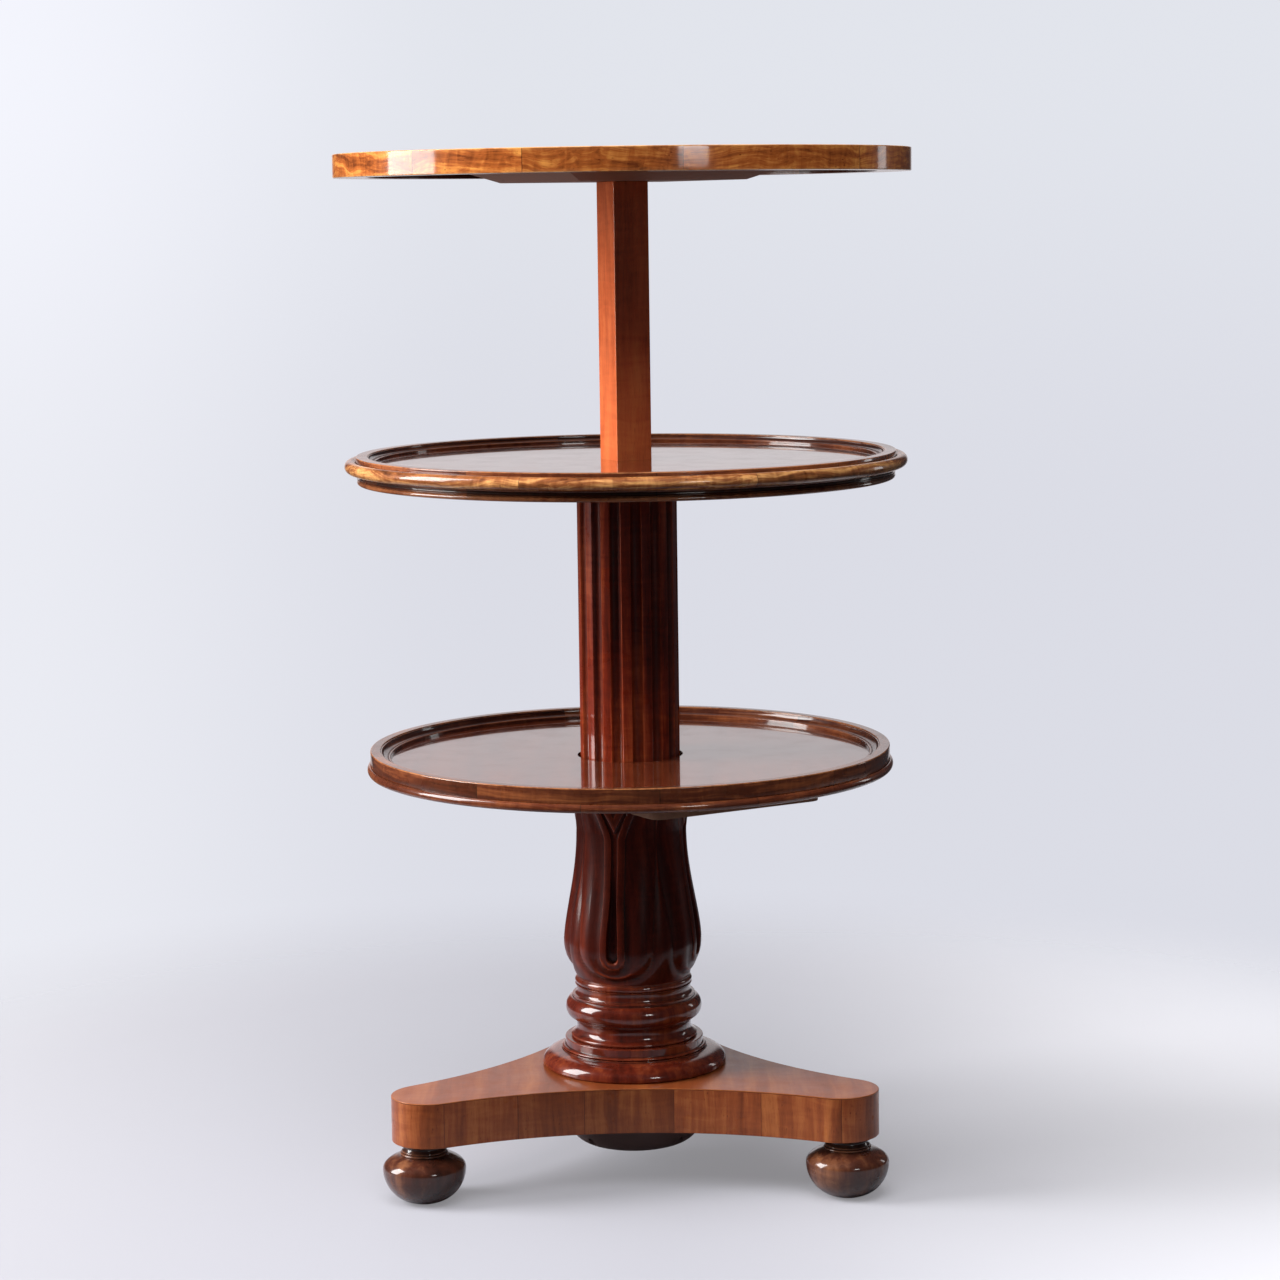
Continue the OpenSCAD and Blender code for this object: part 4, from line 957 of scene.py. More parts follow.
class TABLE_OT_pedestal(Operator):
    """Turn the ring, the socle and the collar under the carved baluster"""

    bl_idname = "tiered_table.pedestal"
    bl_label = "Turned socle"

    def execute(self, context):
        sizes = shapes()
        steps = sizes.ring_turns
        pieces = (
            ("base_ring", self.ring_section),
            ("column_socle", self.socle_section),
            ("socle_collar", self.collar_section),
        )
        for name, section in pieces:
            low_z, high_z = levels_of(name)
            line = section(high_z - low_z, radius_of(name), sizes.well_r)
            line = [(r, low_z + z) for r, z in line]
            work = spun(eased(line, 0.3 * MM, sharpest=40), steps)
            set_piece(name + "_turned", work, "base", [name], "turned_polish")
        return {"FINISHED"}

    def ring_section(self, height, reach, well_r):
        lip = 3 * MM
        fillet_r = PLINTH_R + 4 * MM
        quirk_r = fillet_r + 1 * MM
        line = [(well_r, 0)]
        line += arc(reach - lip, lip, lip, lip, -90, 0, 12)
        line += arc(quirk_r, lip, reach - quirk_r, height - lip - 2 * MM, 8, 78, 28)
        line += [(quirk_r, height - 1.6 * MM), (fillet_r, height - 1.2 * MM)]
        line += [(fillet_r, height), (well_r, height)]
        return line

    def socle_section(self, height, reach, well_r):
        plinth_h, torus_r, torus_h, cove_r = 12 * MM, 74 * MM, 22.5 * MM, 62 * MM
        plinth_r = PLINTH_R
        foot_bead = reach - plinth_r
        torus_z = height * 0.634
        neck_r = cove_r + 4.5 * MM
        low_z = plinth_h + (torus_z - torus_h / 2 - plinth_h) / 2 + 1.5 * MM
        low_h = torus_z - torus_h / 2 - 1.5 * MM - low_z
        high_z = torus_z + torus_h / 2
        cap_z = high_z + 3.4 * MM
        line = [(well_r, 0)]
        line += arc(plinth_r, foot_bead / 2, foot_bead, foot_bead / 2, -90, 80, 12)
        line += [
            (plinth_r, foot_bead + 0.6 * MM), (plinth_r, plinth_h - 0.5 * MM),
            (plinth_r - 0.5 * MM, plinth_h),
        ]
        line += arc(neck_r, plinth_h + 2 * MM, 2 * MM, 2 * MM, -90, 60, 10)
        line += arc(neck_r, low_z, neck_r - cove_r, low_h, 240, 120, 24)
        line += [(neck_r, torus_z - torus_h / 2 - 1 * MM)]
        line += arc(torus_r - 8 * MM, torus_z, 8 * MM, torus_h / 2, -85, 85, 30)
        line += [(neck_r, high_z + 0.6 * MM), (neck_r, high_z + 3 * MM)]
        line += [(cove_r + 1.5 * MM, cap_z)]
        line += arc(
            cove_r + 2.5 * MM, (cap_z + height) / 2, 2.5 * MM, (height - cap_z) / 2, 250, 110, 14
        )
        line += [(cove_r + 1 * MM, height), (well_r, height)]
        return line

    def collar_section(self, height, reach, well_r):
        bead_h = height - 1 * MM
        line = [(well_r, 0)]
        line += arc(reach - 2.6 * MM, bead_h / 2, 2.6 * MM, bead_h / 2, -80, 80, 20)
        line += [(reach - 2 * MM, bead_h + 0.3 * MM), (reach - 2 * MM, height), (well_r, height)]
        return line


# Carved baluster. Heights are measured from its foot, and places across a leaf from its middle.

BALUSTER_FOOT_R = 62.7 * MM
BULGE_R = 75.2 * MM
BULGE_AT = 40 * MM
NECK_R = 60.1 * MM
NECK_AT = 163 * MM
HEAD_R = 66.5 * MM
LEAF_ROUND_AT = BULGE_AT - 1.4 * MM
LEAF_ROUND_H = LEAF_ROUND_AT - 4.6 * MM
LEAF_EDGE_SHARE = 0.66
FORK_AT = NECK_AT - 5 * MM
FORK_SPREAD = 28 * MM
FORK_HALF_W = 2.4 * MM
HAIRPIN_AT = 26 * MM
HAIRPIN_NARROW_AT = 100 * MM
GROOVE_WALL = 1.5 * MM
LIP_CROWN = 0.35 * MM
STEP_W = 0.8 * MM
HOLLOW_W = 5 * MM
HOLLOW_FADE = 11 * MM


class TABLE_OT_baluster(Operator):
    """Carve the baluster's leaves"""

    bl_idname = "tiered_table.baluster"
    bl_label = "Carved baluster"

    def execute(self, context):
        sizes = shapes()
        low_z, high_z = levels_of("baluster")
        self.height = high_z - low_z
        self.sizes = sizes
        self.hairpin_end = HAIRPIN_AT + sizes.hairpin_wide
        rows = self.heights()
        halves = [self.half_leaf(level) for level in rows]
        half_places = len(halves[0])
        per_leaf = 2 * half_places
        steps = per_leaf * sizes.leaf_count
        section = [(self.blank_r(z), low_z + z) for z in rows]
        section += [(sizes.well_r, high_z), (sizes.well_r, low_z)]
        start = sizes.leaf_turn - FULL_TURN / (2 * sizes.leaf_count)

        def place(row, column, r, z):
            if row >= len(rows):
                return r, start + FULL_TURN * column / steps, z
            level = rows[row]
            leaf, k = divmod(column, per_leaf)
            k -= half_places
            across = 0.0 if k == 0 else math.copysign(halves[row][abs(k) - 1], k)
            turn = (leaf + 0.5 + across / (2 * self.leaf_space(level))) / sizes.leaf_count
            carved = self.blank_r(level) - max(
                self.leaf_drop(across, level), self.hairpin_drop(across, level)
            )
            return carved, start + FULL_TURN * turn, z

        work = spun(section, steps, place=place)
        # Broad, strong ridge and hollow marks give the leaves partly painted highlights on their
        # crests and partly painted shade in their grooves
        set_piece("baluster_carved", work, "base", ["baluster"],
                  "carved_polish", relief=(3, 45, 260), weighted=False)
        return {"FINISHED"}

    def heights(self):
        """Levels of the rows, close together where the leaves and hairpins turn."""
        spans = ((0, 52 * MM, 66), (52 * MM, FORK_AT, 34), (FORK_AT, self.height, 56))
        rows = [0.0]
        for start, end, count in spans:
            rows += [mix(start, end, i / count) for i in range(1, count + 1)]
        return rows

    def blank_r(self, z):
        if z < BULGE_AT:
            return mix(BALUSTER_FOOT_R, BULGE_R, math.sin(math.pi / 2 * z / BULGE_AT))
        if z < NECK_AT:
            return mix(BULGE_R, NECK_R, ease(((z - BULGE_AT) / (NECK_AT - BULGE_AT)) ** 0.8))
        return mix(NECK_R, HEAD_R, ((z - NECK_AT) / (self.height - NECK_AT)) ** 1.2)

    def carve_share(self, z):
        return 1 - ease((z - BULGE_AT - 10 * MM) / (NECK_AT - BULGE_AT - 33 * MM))

    def leaf_space(self, z):
        return self.blank_r(z) * math.pi / self.sizes.leaf_count

    def leaf_half_w(self, z):
        return min(self.sizes.leaf_w / 2, self.leaf_space(z) - 0.6 * MM)

    def fork_share(self, z):
        return clamp01((z - FORK_AT) / (self.height - FORK_AT))

    def fork(self, z):
        return FORK_SPREAD * self.fork_share(z) ** 1.2

    def groove_w(self, z):
        wide_to = self.hairpin_end + 12 * MM
        if z < FORK_AT:
            narrowing = ease((z - wide_to) / (HAIRPIN_NARROW_AT - wide_to))
            return mix(self.sizes.hairpin_wide, self.sizes.hairpin_half_w, narrowing)
        return mix(self.sizes.hairpin_half_w, FORK_HALF_W, clamp01(2 * self.fork_share(z)))

    def half_leaf(self, z):
        """Places across half a leaf: the fork's tongue, the groove, its lip, leaf and valley."""
        lip_w = self.sizes.lip_w
        crotch, outer = self.fork(z) - self.groove_w(z), self.fork(z) + self.groove_w(z)
        inwards = (16, 12.5, 10.5, 8.9, 8, 7.2, 6.6, 5, 3.2, 1.4, 0.5, 0)
        places = [max(0.0, crotch - away * MM) for away in inwards]
        places += [max(0.0, crotch + GROOVE_WALL * k / 3) for k in (1, 2, 3)]
        floor_from, floor_to = max(0.0, crotch + GROOVE_WALL), outer - GROOVE_WALL
        places += [mix(floor_from, floor_to, k / 4) for k in (1, 2, 3)]
        places += [mix(floor_to, outer, k) for k in (0, 0.35, 0.7, 0.9, 1)]
        places += [outer + lip_w * k for k in (0.03, 0.1, 0.25, 0.5, 0.75, 0.9, 0.97, 1)]
        step_at = outer + lip_w + STEP_W
        hollow_at = step_at + HOLLOW_W
        places += [step_at - STEP_W * k for k in (0.6, 0.3, 0)]
        places += [mix(step_at, hollow_at, k / 5) for k in (1, 2, 3, 4, 5)]
        edge, space = max(self.leaf_half_w(z), hollow_at + 1 * MM), self.leaf_space(z)
        leaf_shares = (0.14, 0.28, 0.42, 0.55, 0.67, 0.77, 0.86, 0.94, 0.985, 1)
        places += [mix(hollow_at, edge, k) for k in leaf_shares]
        return places + [mix(edge, space, k) for k in (0.05, 0.16, 0.32, 0.55, 0.78, 1)]

    def leaf_drop(self, s, z):
        across = abs(s) / self.leaf_half_w(z)
        down = max(0.0, LEAF_ROUND_AT - z) / LEAF_ROUND_H
        edge = math.hypot(across, down)
        deepest = mix(2.4 * MM, self.sizes.leaf_relief, self.carve_share(z))
        if edge < 1:
            return deepest * clamp01((edge - LEAF_EDGE_SHARE) / (1 - LEAF_EDGE_SHARE)) ** 2
        rise = math.sin(math.pi / 2 * clamp01((edge - 1) / 0.2))
        return mix(deepest, self.sizes.back_relief, rise)

    def hairpin_away(self, s, z):
        """Distance outwards from the groove's edge."""
        if z < self.hairpin_end:
            return math.hypot(s, self.hairpin_end - z) - self.sizes.hairpin_wide
        return abs(abs(s) - self.fork(z)) - self.groove_w(z)

    def hairpin_drop(self, s, z):
        away = self.hairpin_away(s, z)
        cut = self.carve_share(z)
        depth = mix(2.2 * MM, self.sizes.hairpin_depth, cut)
        hollow = mix(1 * MM, 1.9 * MM, cut)
        lip_w = self.sizes.lip_w
        step_at = lip_w + STEP_W
        hollow_at = step_at + HOLLOW_W
        if away < -GROOVE_WALL:
            return depth
        if away < 0:
            return mix(depth, LIP_CROWN, (away + GROOVE_WALL) / GROOVE_WALL)
        if away < lip_w:
            return LIP_CROWN * (2 * away / lip_w - 1) ** 2
        if away < step_at:
            return mix(LIP_CROWN, hollow * 0.7, (away - lip_w) / STEP_W)
        if away < hollow_at:
            sweep = math.sin(math.pi / 2 * (away - step_at) / HOLLOW_W)
            return mix(hollow * 0.7, hollow, sweep)
        return mix(hollow, 0, ease((away - hollow_at) / HOLLOW_FADE))


class TABLE_OT_well(Operator):
    """Turn the dark cap that closes the well"""

    bl_idname = "tiered_table.well"
    bl_label = "Well cap"

    def execute(self, context):
        set_piece("well_cap_turned", copy_of_node("well_cap", 0.5 * MM, bend=50), "base",
                  ["well_cap"], "cap_wood")
        return {"FINISHED"}


class TABLE_OT_blocks(Operator):
    """Ease the arrises of the three mounting blocks"""

    bl_idname = "tiered_table.blocks"
    bl_label = "Mounting blocks"

    def execute(self, context):
        bodies = {"lower_block": "base", "mid_block": "middle_stage", "top_block": "top_stage"}
        for name, body in bodies.items():
            set_piece(name + "_eased", copy_of_node(name, 0.8 * MM), body,
                      [name], "carcase_wood")
        return {"FINISHED"}


class TABLE_OT_column(Operator):
    """Flute the column"""

    bl_idname = "tiered_table.column"
    bl_label = "Fluted column"

    def execute(self, context):
        sizes = shapes()
        low_z, high_z = levels_of("fluted_column")
        foot_r = radius_of("fluted_column")
        shaft_z = low_z + sizes.column_foot_h
        head_z = levels_of("mid_block")[0]
        tenon_r = 44 * MM
        wear_depth, wear_base = 0.06 * MM, 0.05 * MM
        turns = self.pitch_places(sizes)
        per_flute = len(turns)
        steps = per_flute * sizes.flute_count
        soft = 0.6 * MM
        section = [(foot_r - soft, low_z), (foot_r, low_z + soft)]
        section += [(foot_r, mix(low_z, shaft_z, k / 4)) for k in (1, 2, 3)]
        section += [(foot_r, shaft_z - soft), (foot_r - soft, shaft_z)]
        first_shaft_row = len(section)
        shaft_rows = 60
        section += [
            (sizes.column_r, mix(shaft_z, head_z, k / shaft_rows)) for k in range(shaft_rows + 1)
        ]
        last_shaft_row = len(section) - 1
        section += [(tenon_r, head_z), (tenon_r, high_z), (sizes.column_bore_r, high_z)]
        section += [(sizes.column_bore_r, low_z)]
        pitch = FULL_TURN / sizes.flute_count
        flute_at = sizes.column_r + sizes.flute_r - sizes.flute_depth

        def place(row, column, r, z):
            flute, k = divmod(column, per_flute)
            turn, depth_share = turns[k]
            angle = sizes.land_turn + pitch * (flute + 0.5) + turn
            if first_shaft_row <= row <= last_shaft_row:
                if depth_share:
                    # Distance out to the flute's hollow along this direction
                    out = flute_at * math.cos(turn)
                    cut = out - math.sqrt(
                        max(0.0, sizes.flute_r ** 2 - (flute_at * math.sin(turn)) ** 2)
                    )
                    r = min(r, cut)
                worn = noise.noise(Vector((angle * 6, z * 30, 0.5))) * wear_depth
                r += min(0.0, worn - wear_base)
            return r, angle, z

        work = spun(section, steps, place=place)
        set_piece("column_fluted", work, "middle_stage", ["fluted_column"],
                  "column_polish", relief=(1, 60, 400))
        return {"FINISHED"}

    def pitch_places(self, sizes):
        """Directions across one flute and its land, and whether each lies in the hollow."""
        flute_at = sizes.column_r + sizes.flute_r - sizes.flute_depth
        edge = math.acos(
            (sizes.column_r ** 2 + flute_at ** 2 - sizes.flute_r ** 2)
            / (2 * sizes.column_r * flute_at)
        )
        half_pitch = math.pi / sizes.flute_count
        places = [(edge * k / 6, True) for k in range(-6, 7)]
        land = [edge + math.radians(0.35)]
        land += [mix(edge + math.radians(0.7), half_pitch, k / 2) for k in range(2)]
        places += [(turn, False) for turn in land]
        places += [(half_pitch, False)]
        places += [(2 * half_pitch - turn, False) for turn in reversed(land)]
        return places


class TABLE_OT_post(Operator):
    """Plane the square post and its round guide"""

    bl_idname = "tiered_table.post"
    bl_label = "Square post"

    def execute(self, context):
        set_piece("post_planed", copy_of_node("post", 0.9 * MM, segments=3), "top_stage",
                  ["post"], "post_polish")
        set_piece("post_guide_turned", copy_of_node("post_guide", 0.6 * MM, bend=50),
                  "top_stage", ["post_guide"], "carcase_wood")
        return {"FINISHED"}


# Widths of the trays' ridges and of the mouldings inside them
LOWER_RIM_W = LOWER_MOULDING_W = 11 * MM
MIDDLE_RIM_W, MIDDLE_MOULDING_W = 12.5 * MM, 8.5 * MM


class TABLE_OT_trays(Operator):
    """Make the two trays' panels, rims, beads and mouldings"""

    bl_idname = "tiered_table.trays"
    bl_label = "Trays"

    def execute(self, context):
        sizes = shapes()
        for name in ("lower_tray_panel", "mid_tray_panel"):
            dress_node(name, "panel_polish")
        for name, body, slot, material, line in (
            ("lower_tray_rim", "base", "rim_mahogany", "rim_polish", self.lower_rim()),
            ("lower_tray_bead", "base", "moulding_mahogany", "moulding_polish",
             self.lower_bead()),
            ("mid_tray_rim", "middle_stage", "rim_mahogany", "rim_polish", self.middle_rim()),
            ("mid_tray_bead", "middle_stage", "moulding_mahogany", "bead_polish",
             self.middle_bead()),
            ("lower_tray_moulding", "base", "moulding_mahogany", "moulding_polish",
             self.moulding("lower_tray_moulding", LOWER_MOULDING_W)),
            ("mid_tray_moulding", "middle_stage", "moulding_mahogany", "moulding_polish",
             self.moulding("mid_tray_moulding", MIDDLE_MOULDING_W)),
        ):
            work = spun(line, sizes.ring_turns)
            set_piece(name + "_turned", work, body, [name], material)
        return {"FINISHED"}

    def moulding(self, name, width):
        """The moulding inside a tray's ridge: a hollow that falls to a bead, let into its panel."""
        low_z, high_z = levels_of(name)
        r_out, face_z = radius_of(name), low_z + LET_IN
        height = high_z - low_z - LET_IN
        bead_w, bead_h, fillet_w = width * 0.32, height * 0.3, width * 0.12
        fall_w = width - bead_w - fillet_w
        step = 0.6 * MM
        line = [(r_out - width, -LET_IN), (r_out, -LET_IN), (r_out, height)]
        line += [(r_out - fillet_w, height)]
        line += arc(
            r_out - fillet_w - fall_w, height - step, fall_w, height - bead_h - 1 * MM, 0, -90, 20
        )
        line += arc(
            r_out - width + bead_w / 2, bead_h - step, bead_w / 2, bead_h * 0.6, 60, 170, 10
        )
        return eased([(r, face_z + z) for r, z in line], 0.35 * MM, sharpest=40)

    def groove(self, rim_in, panel):
        """The groove in a rim for its panel's tongue, read from the panel's levels."""
        low_z, high_z = levels_of(panel)
        reach = radius_of(panel) + GLUE_GAP
        quarter = (high_z - low_z) / 4 - GLUE_GAP
        return [
            (rim_in, high_z - quarter), (reach, high_z - quarter),
            (reach, low_z + quarter), (rim_in, low_z + quarter),
        ]

    def lower_rim(self):
        low_z, high_z = levels_of("lower_tray_rim")
        reach = radius_of("lower_tray_rim")
        rim_in = reach - LOWER_RIM_W
        soft = 1.2 * MM
        line = [(rim_in, low_z), (reach, low_z)]
        line += arc(reach - soft, high_z - soft, soft, soft, 0, 90, 10)
        line += arc(rim_in + soft, high_z - soft, soft, soft, 90, 180, 10)
        return line + self.groove(rim_in, "lower_tray_panel")

    def lower_bead(self):
        low_z, high_z = levels_of("lower_tray_bead")
        inner = radius_of("lower_tray_rim") + GLUE_GAP
        reach = radius_of("lower_tray_bead") - inner
        half = (high_z - low_z) / 2
        line = [(inner, low_z)]
        line += arc(inner, low_z + half, reach, half, -80, 80, 20)
        return line + [(inner, high_z)]

    def middle_rim(self):
        low_z, high_z = levels_of("mid_tray_rim")
        reach = radius_of("mid_tray_rim")
        rim_in = reach - MIDDLE_RIM_W
        height = high_z - low_z
        soft, quirk_in, bead_h = 1.2 * MM, 2.5 * MM, 5 * MM
        step = quirk_in + 1 * MM
        line = [(rim_in, 0), (reach - step, 0)]
        line += arc(reach - step, bead_h / 2, 2.5 * MM, bead_h / 2, -80, 80, 14)
        line += arc(
            reach + 1.5 * MM, bead_h + 3 * MM, quirk_in + 2.5 * MM, 2.6 * MM, 240, 120, 14
        )
        line += [(reach, height - 18 * MM)]
        line += arc(reach - soft, height - soft, soft, soft, 0, 90, 10)
        line += arc(rim_in + soft, height - soft, soft, soft, 90, 180, 10)
        line = [(r, low_z + z) for r, z in line]
        return line + self.groove(rim_in, "mid_tray_panel")

    def middle_bead(self):
        bead_r = 6.8 * MM
        low_z, high_z = levels_of("mid_tray_bead")
        centre_r = radius_of("mid_tray_bead") - bead_r
        back = radius_of("mid_tray_rim") + GLUE_GAP - centre_r
        opening = math.degrees(math.acos(back / bead_r))
        return arc(centre_r, (low_z + high_z) / 2, bead_r, bead_r, -opening, opening, 36)


class TABLE_OT_top(Operator):
    """Make the round top with its lapping and veneered edge"""

    bl_idname = "tiered_table.top"
    bl_label = "Round top"

    def execute(self, context):
        sizes = shapes()
        steps = 320
        arris = 1 * MM
        unevenness = 0.12 * MM
        low_z, high_z = levels_of("top_edge_veneer")
        reach = radius_of("top_edge_veneer")
        inner = radius_of("top_panel") + GLUE_GAP
        line = [(inner, low_z)]
        line += arc(reach - arris, low_z + arris, arris, arris, -90, 0, 6)
        line += [(reach, mix(low_z, high_z, k / 6)) for k in range(1, 6)]
        line += arc(reach - arris, high_z - arris, arris, arris, 0, 90, 6)
        line += [(inner, high_z)]

        def place(row, column, r, z):
            turn = FULL_TURN * column / steps
            if r > inner + 0.3 * MM:
                wave = noise.noise(Vector((math.cos(turn) * 5, math.sin(turn) * 5, z * 40)))
                r -= (0.5 + 0.5 * wave) * unevenness
            return r, turn, z

        set_piece("top_edge_banding", spun(line, steps, place=place), "top_stage",
                  ["top_edge_veneer"], "edge_veneer")
        low_z, high_z = levels_of("top_lapping")
        reach = radius_of("top_lapping")
        lapping_w = 33.5 * MM
        lap_in = reach - lapping_w
        line = [(lap_in, low_z), (reach, low_z), (reach, high_z), (lap_in, high_z)]
        set_piece("top_lapping_turned", spun(eased(line, 0.6 * MM), sizes.ring_turns),
                  "top_stage", ["top_lapping"], "rim_polish")
        dress_node("top_panel", "top_polish")
        return {"FINISHED"}


class TABLE_OT_clamps(Operator):
    """Make the two brass clamp screws with knurled knobs, and their bushes"""

    bl_idname = "tiered_table.clamps"
    bl_label = "Clamp screws"

    def execute(self, context):
        sizes = shapes()
        shank_r = 3 * MM
        for stage, nut_body, turn, knob_r in (
            ("lower", "base", sizes.block_turn, 8 * MM),
            ("upper", "middle_stage", math.pi / 2 + sizes.post_turn, 8.2 * MM),
        ):
            node_name = stage + "_clamp_screw"
            low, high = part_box(node_name)
            level = (low.z + high.z) / 2
            outward = Vector((math.cos(turn), math.sin(turn), 0))
            spots = [v.co.dot(outward) for v in frame["nodes"][node_name].data.vertices]
            start, end = min(spots), max(spots)
            work = self.screw(end - start, shank_r, knob_r)
            place = Matrix.Translation(outward * start + Vector((0, 0, level)))
            place = place @ Matrix.Rotation(turn, 4, "Z") @ Matrix.Rotation(math.pi / 2, 4, "Y")
            bmesh.ops.transform(work, matrix=place, verts=work.verts)
            set_piece(stage + "_clamp_knurled", work, stage + "_clamp",
                      [node_name], "clamp_brass")
            nut = stage + "_clamp_nut"
            set_piece(nut + "_eased", copy_of_node(nut, 0.3 * MM, bend=50), nut_body,
                      [nut], "clamp_brass")
        return {"FINISHED"}

    def screw(self, total, shank_r, knob_r):
        """A clamp screw along +Z from its tip, with thread grooves and a knurled knob."""
        steps = 144
        knob_t = knob_r * 0.9
        knob_at = total - knob_t * 1.04
        groove, pitch, collar_w, edge_r, knurl = (
            0.25 * MM, 1.2 * MM, 1 * MM, 0.8 * MM, 0.35 * MM,
        )
        line = [(0, 0), (shank_r - 1 * MM, 0), (shank_r, 1 * MM)]
        z = 2 * MM
        while z < knob_at - 3 * MM:
            line += [(shank_r, z), (shank_r - groove, z + pitch / 2)]
            z += pitch
        line += [(shank_r, knob_at - 0.5 * MM), (shank_r + collar_w, knob_at)]
        line += [(shank_r + collar_w, knob_at + knob_t * 0.3)]
        line += [(knob_r - 1 * MM, knob_at + knob_t * 0.36)]
        first = len(line)
        line += arc(knob_r - edge_r, knob_at + knob_t * 0.48, edge_r, edge_r, -80, 0, 3)
        line += arc(knob_r - edge_r, knob_at + knob_t * 0.84, edge_r, edge_r, 0, 80, 3)
        last = len(line) - 1
        line += [(knob_r - 1.6 * MM, knob_at + knob_t * 0.94)]
        line += [(knob_r * 0.4, knob_at + knob_t), (0, total)]

        def place(row, column, r, z):
            if first <= row <= last and column % 2:
                r -= knurl
            return r, FULL_TURN * column / steps, z

        return spun(line, steps, place=place)


class TABLE_OT_wood_screws(Operator):
    """Give the wood screws their iron"""

    bl_idname = "tiered_table.wood_screws"
    bl_label = "Wood screws"

    def execute(self, context):
        for name in frame["nodes"]:
            if name.endswith("_screws"):
                dress_node(name, "screw_iron")
        return {"FINISHED"}


# Studio


# Place, size, watts, whether the polish mirrors it, and whether it lights rough surfaces
LAMPS = {
    "window_left": ((-4.0, -0.15, 2.2), (2.0, 3.4), 380, True, True),
    "lamp_front": ((1.35, -2.75, 1.35), (0.6, 0.45), 14, True, False),
    "lamp_right": ((2.3, 1.2, 0.9), (0.3, 0.8), 2.5, True, True),
    "sky_panel": ((-0.3, -1.3, 3.2), (3.0, 3.0), 125, False, True),
}
LAMPS_AIM = Vector((0, 0, 0.6))
FLOOR_R = 9
# Spans along X in which the floor changes from its left tone, and to its right one
LEFT_FADE, RIGHT_FADE = (-1.6, -0.1), (0.0, 0.9)
# Distances between which the floor fades into the backdrop
FLOOR_FADE = (0.8, 1.5)
# Share of the floor's own glow, which keeps its shadows pale
FLOOR_LIFT = 0.3


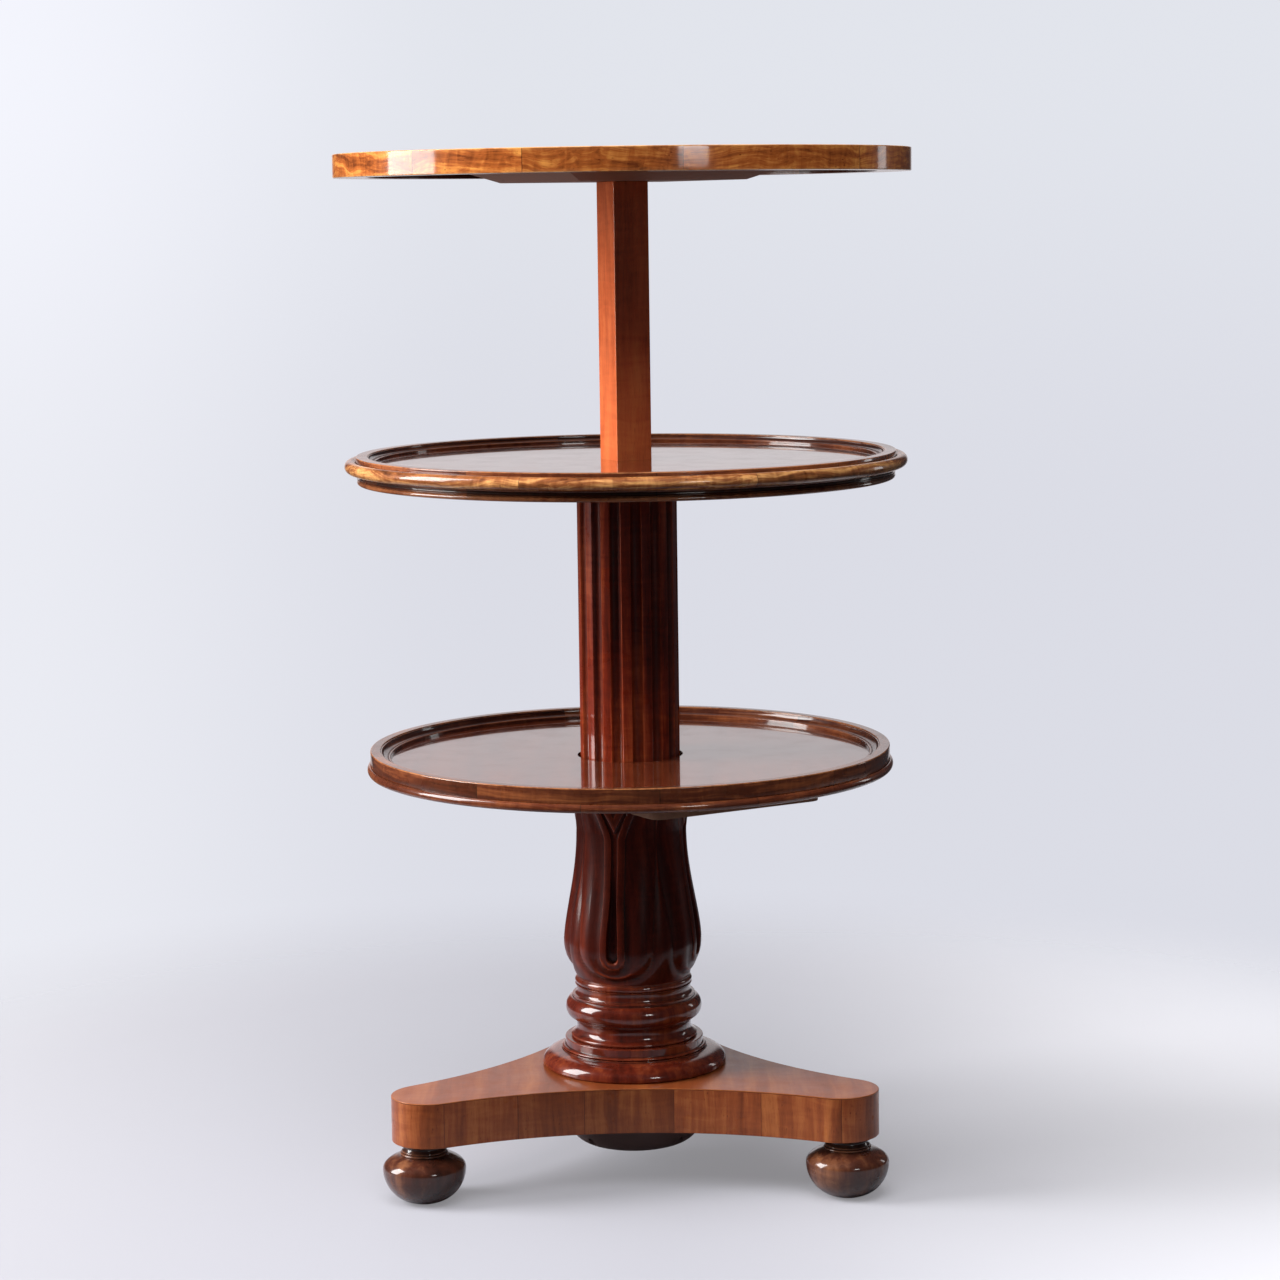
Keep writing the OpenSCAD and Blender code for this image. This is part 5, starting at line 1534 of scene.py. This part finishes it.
class TABLE_OT_studio(Operator):
    """Make the floor, the backdrop, the lamps and the camera"""

    bl_idname = "tiered_table.studio"
    bl_label = "Studio"

    def execute(self, context):
        scene = context.scene
        self.make_floor(scene)
        self.make_world(scene)
        self.make_lamps(scene)
        self.make_camera(scene)
        scene.view_settings.view_transform = "Standard"
        return {"FINISHED"}

    def make_floor(self, scene):
        studio = scene.table_studio
        work = bmesh.new()
        bmesh.ops.create_circle(work, cap_ends=True, segments=96, radius=FLOOR_R)
        mesh = bpy.data.meshes.new("studio_floor")
        work.to_mesh(mesh)
        work.free()
        floor = bpy.data.objects.new("studio_floor", mesh)
        scene.collection.objects.link(floor)
        material = bpy.data.materials.new("studio_floor")
        material.use_nodes = True
        tree = material.node_tree
        shader = tree.nodes["Principled BSDF"]
        shader.inputs["Roughness"].default_value = 0.6
        shader.inputs["Specular IOR Level"].default_value = 0.1
        rays = node(tree, "LightPath").outputs
        place = node(tree, "TexCoord").outputs["Object"]
        across = part_of(tree, place, "X")
        pale = blend(
            tree, remap(tree, across, *LEFT_FADE), (*studio.floor_left, 1),
            (*studio.floor_middle, 1),
        )
        pale = blend(tree, remap(tree, across, *RIGHT_FADE), pale, (*studio.floor_right, 1))
        # Little light comes back up from the floor, as in a room with dark walls
        pale = blend(tree, rays["Is Diffuse Ray"], pale, (*studio.floor_bounce, 1))
        tree.links.new(pale, shader.inputs["Base Color"])
        # The floor fades into the backdrop a metre out, so that no edge shows
        fade = remap(tree, length_of(tree, place), *FLOOR_FADE)
        # In the polish it ends sooner, except behind the table, because the room is dim
        behind = length_of(tree, stretch(tree, place, shift=(0, -0.7, 0)))
        near = calc(tree, "MULTIPLY", remap(tree, behind, 0.9, 1.6), rays["Is Glossy Ray"])
        fade = calc(tree, "MAXIMUM", fade, near)
        glow = node(tree, "Emission", {"Color": (*studio.floor_glow, 1)}).outputs[0]
        lift = calc(tree, "MULTIPLY", rays["Is Camera Ray"], FLOOR_LIFT)
        lifted = node(tree, "MixShader", {0: lift, 1: shader.outputs[0], 2: glow}).outputs[0]
        clear = node(tree, "BsdfTransparent").outputs[0]
        mixed = node(tree, "MixShader", {0: fade, 1: lifted, 2: clear}).outputs[0]
        tree.links.new(mixed, tree.nodes["Material Output"].inputs["Surface"])
        mesh.materials.append(material)

    def make_world(self, scene):
        studio = scene.table_studio
        world = bpy.data.worlds.new("studio_backdrop")
        world.use_nodes = True
        scene.world = world
        tree = world.node_tree
        direction = node(tree, "TexCoord").outputs["Generated"]
        parts = node(tree, "SeparateXYZ", {0: direction}).outputs
        across = remap(tree, parts["X"], -0.2, -0.03)
        low = blend(tree, across, (*studio.wall_left, 1), (*studio.wall_right, 1))
        high = blend(tree, across, (*studio.wall_left_high, 1), (*studio.wall_right_high, 1))
        seen = blend(tree, remap(tree, parts["Z"], -0.10, 0.05), low, high)
        # The polish mirrors the backdrop behind the table, and a dim room elsewhere
        rays = node(tree, "LightPath").outputs
        aside = calc(tree, "ABSOLUTE", parts["X"])
        behind = calc(
            tree, "MULTIPLY", remap(tree, aside, 0.16, 0.30, 1.0, 0.0),
            remap(tree, parts["Y"], 0.0, 0.3),
        )
        warm = blend(tree, 1.0, seen, (*studio.mirror_tint, 1), "MULTIPLY")
        mirrored = blend(tree, behind, (*studio.room, 1), warm)
        picture = blend(tree, rays["Is Glossy Ray"], (*studio.room_light, 1), mirrored)
        picture = blend(tree, rays["Is Camera Ray"], picture, seen)
        tree.links.new(picture, tree.nodes["Background"].inputs["Color"])

    def make_lamps(self, scene):
        for name, (place, size, strength, glossy, diffuse) in LAMPS.items():
            data = bpy.data.lights.new(name, "AREA")
            data.shape = "RECTANGLE"
            data.size, data.size_y = size
            data.energy = strength
            lamp = bpy.data.objects.new(name, data)
            lamp.location = place
            facing = (LAMPS_AIM - Vector(place)).to_track_quat("-Z", "Y")
            lamp.rotation_euler = facing.to_euler()
            lamp.visible_glossy = glossy
            lamp.visible_diffuse = diffuse
            lamp.visible_camera = False
            scene.collection.objects.link(lamp)

    def make_camera(self, scene):
        studio = scene.table_studio
        data = bpy.data.cameras.new("photo_view")
        data.lens = studio.lens
        data.sensor_width = 36
        camera = bpy.data.objects.new("photo_view", data)
        scene.collection.objects.link(camera)
        turn = (
            Matrix.Rotation(-studio.camera_yaw, 4, "Z")
            @ Matrix.Rotation(math.pi / 2 - studio.camera_pitch, 4, "X")
            @ Matrix.Rotation(-studio.camera_roll, 4, "Z")
        )
        camera.location = (0, -studio.camera_back, studio.camera_height)
        camera.rotation_euler = turn.to_euler()
        data.clip_start = 0.05
        data.clip_end = 100
        scene.camera = camera


class VIEW3D_PT_tiered_table(Panel):
    """Lists the table's pieces and settings"""

    bl_label = "Telescoping Table"
    bl_idname = "VIEW3D_PT_tiered_table"
    bl_space_type = "VIEW_3D"
    bl_region_type = "UI"
    bl_category = "Table"

    def draw(self, context):
        layout = self.layout
        for operator in PIECE_OPERATORS:
            layout.operator(operator.bl_idname)
        for group in ("table_shapes", "table_finishes", "table_studio"):
            settings = getattr(context.scene, group)
            box = layout.box()
            for key in settings.bl_rna.properties.keys():
                if key not in ("rna_type", "name"):
                    box.prop(settings, key)


PIECE_OPERATORS = (
    TABLE_OT_finishes,
    TABLE_OT_studio,
    TABLE_OT_platform,
    TABLE_OT_feet,
    TABLE_OT_pedestal,
    TABLE_OT_baluster,
    TABLE_OT_well,
    TABLE_OT_blocks,
    TABLE_OT_column,
    TABLE_OT_post,
    TABLE_OT_trays,
    TABLE_OT_top,
    TABLE_OT_clamps,
    TABLE_OT_wood_screws,
)
SETTINGS = {
    "table_shapes": TableShapes,
    "table_finishes": TableFinishes,
    "table_studio": TableStudio,
}


def register():
    for group in SETTINGS.values():
        bpy.utils.register_class(group)
    for key, group in SETTINGS.items():
        setattr(bpy.types.Scene, key, PointerProperty(type=group))
    for operator in PIECE_OPERATORS:
        bpy.utils.register_class(operator)
    bpy.utils.register_class(VIEW3D_PT_tiered_table)


def unregister():
    bpy.utils.unregister_class(VIEW3D_PT_tiered_table)
    for operator in reversed(PIECE_OPERATORS):
        bpy.utils.unregister_class(operator)
    for key, group in SETTINGS.items():
        delattr(bpy.types.Scene, key)
        bpy.utils.unregister_class(group)


def main():
    register()
    for operator in PIECE_OPERATORS:
        family, name = operator.bl_idname.split(".")
        getattr(getattr(bpy.ops, family), name)()


if __name__ == "__main__":
    main()
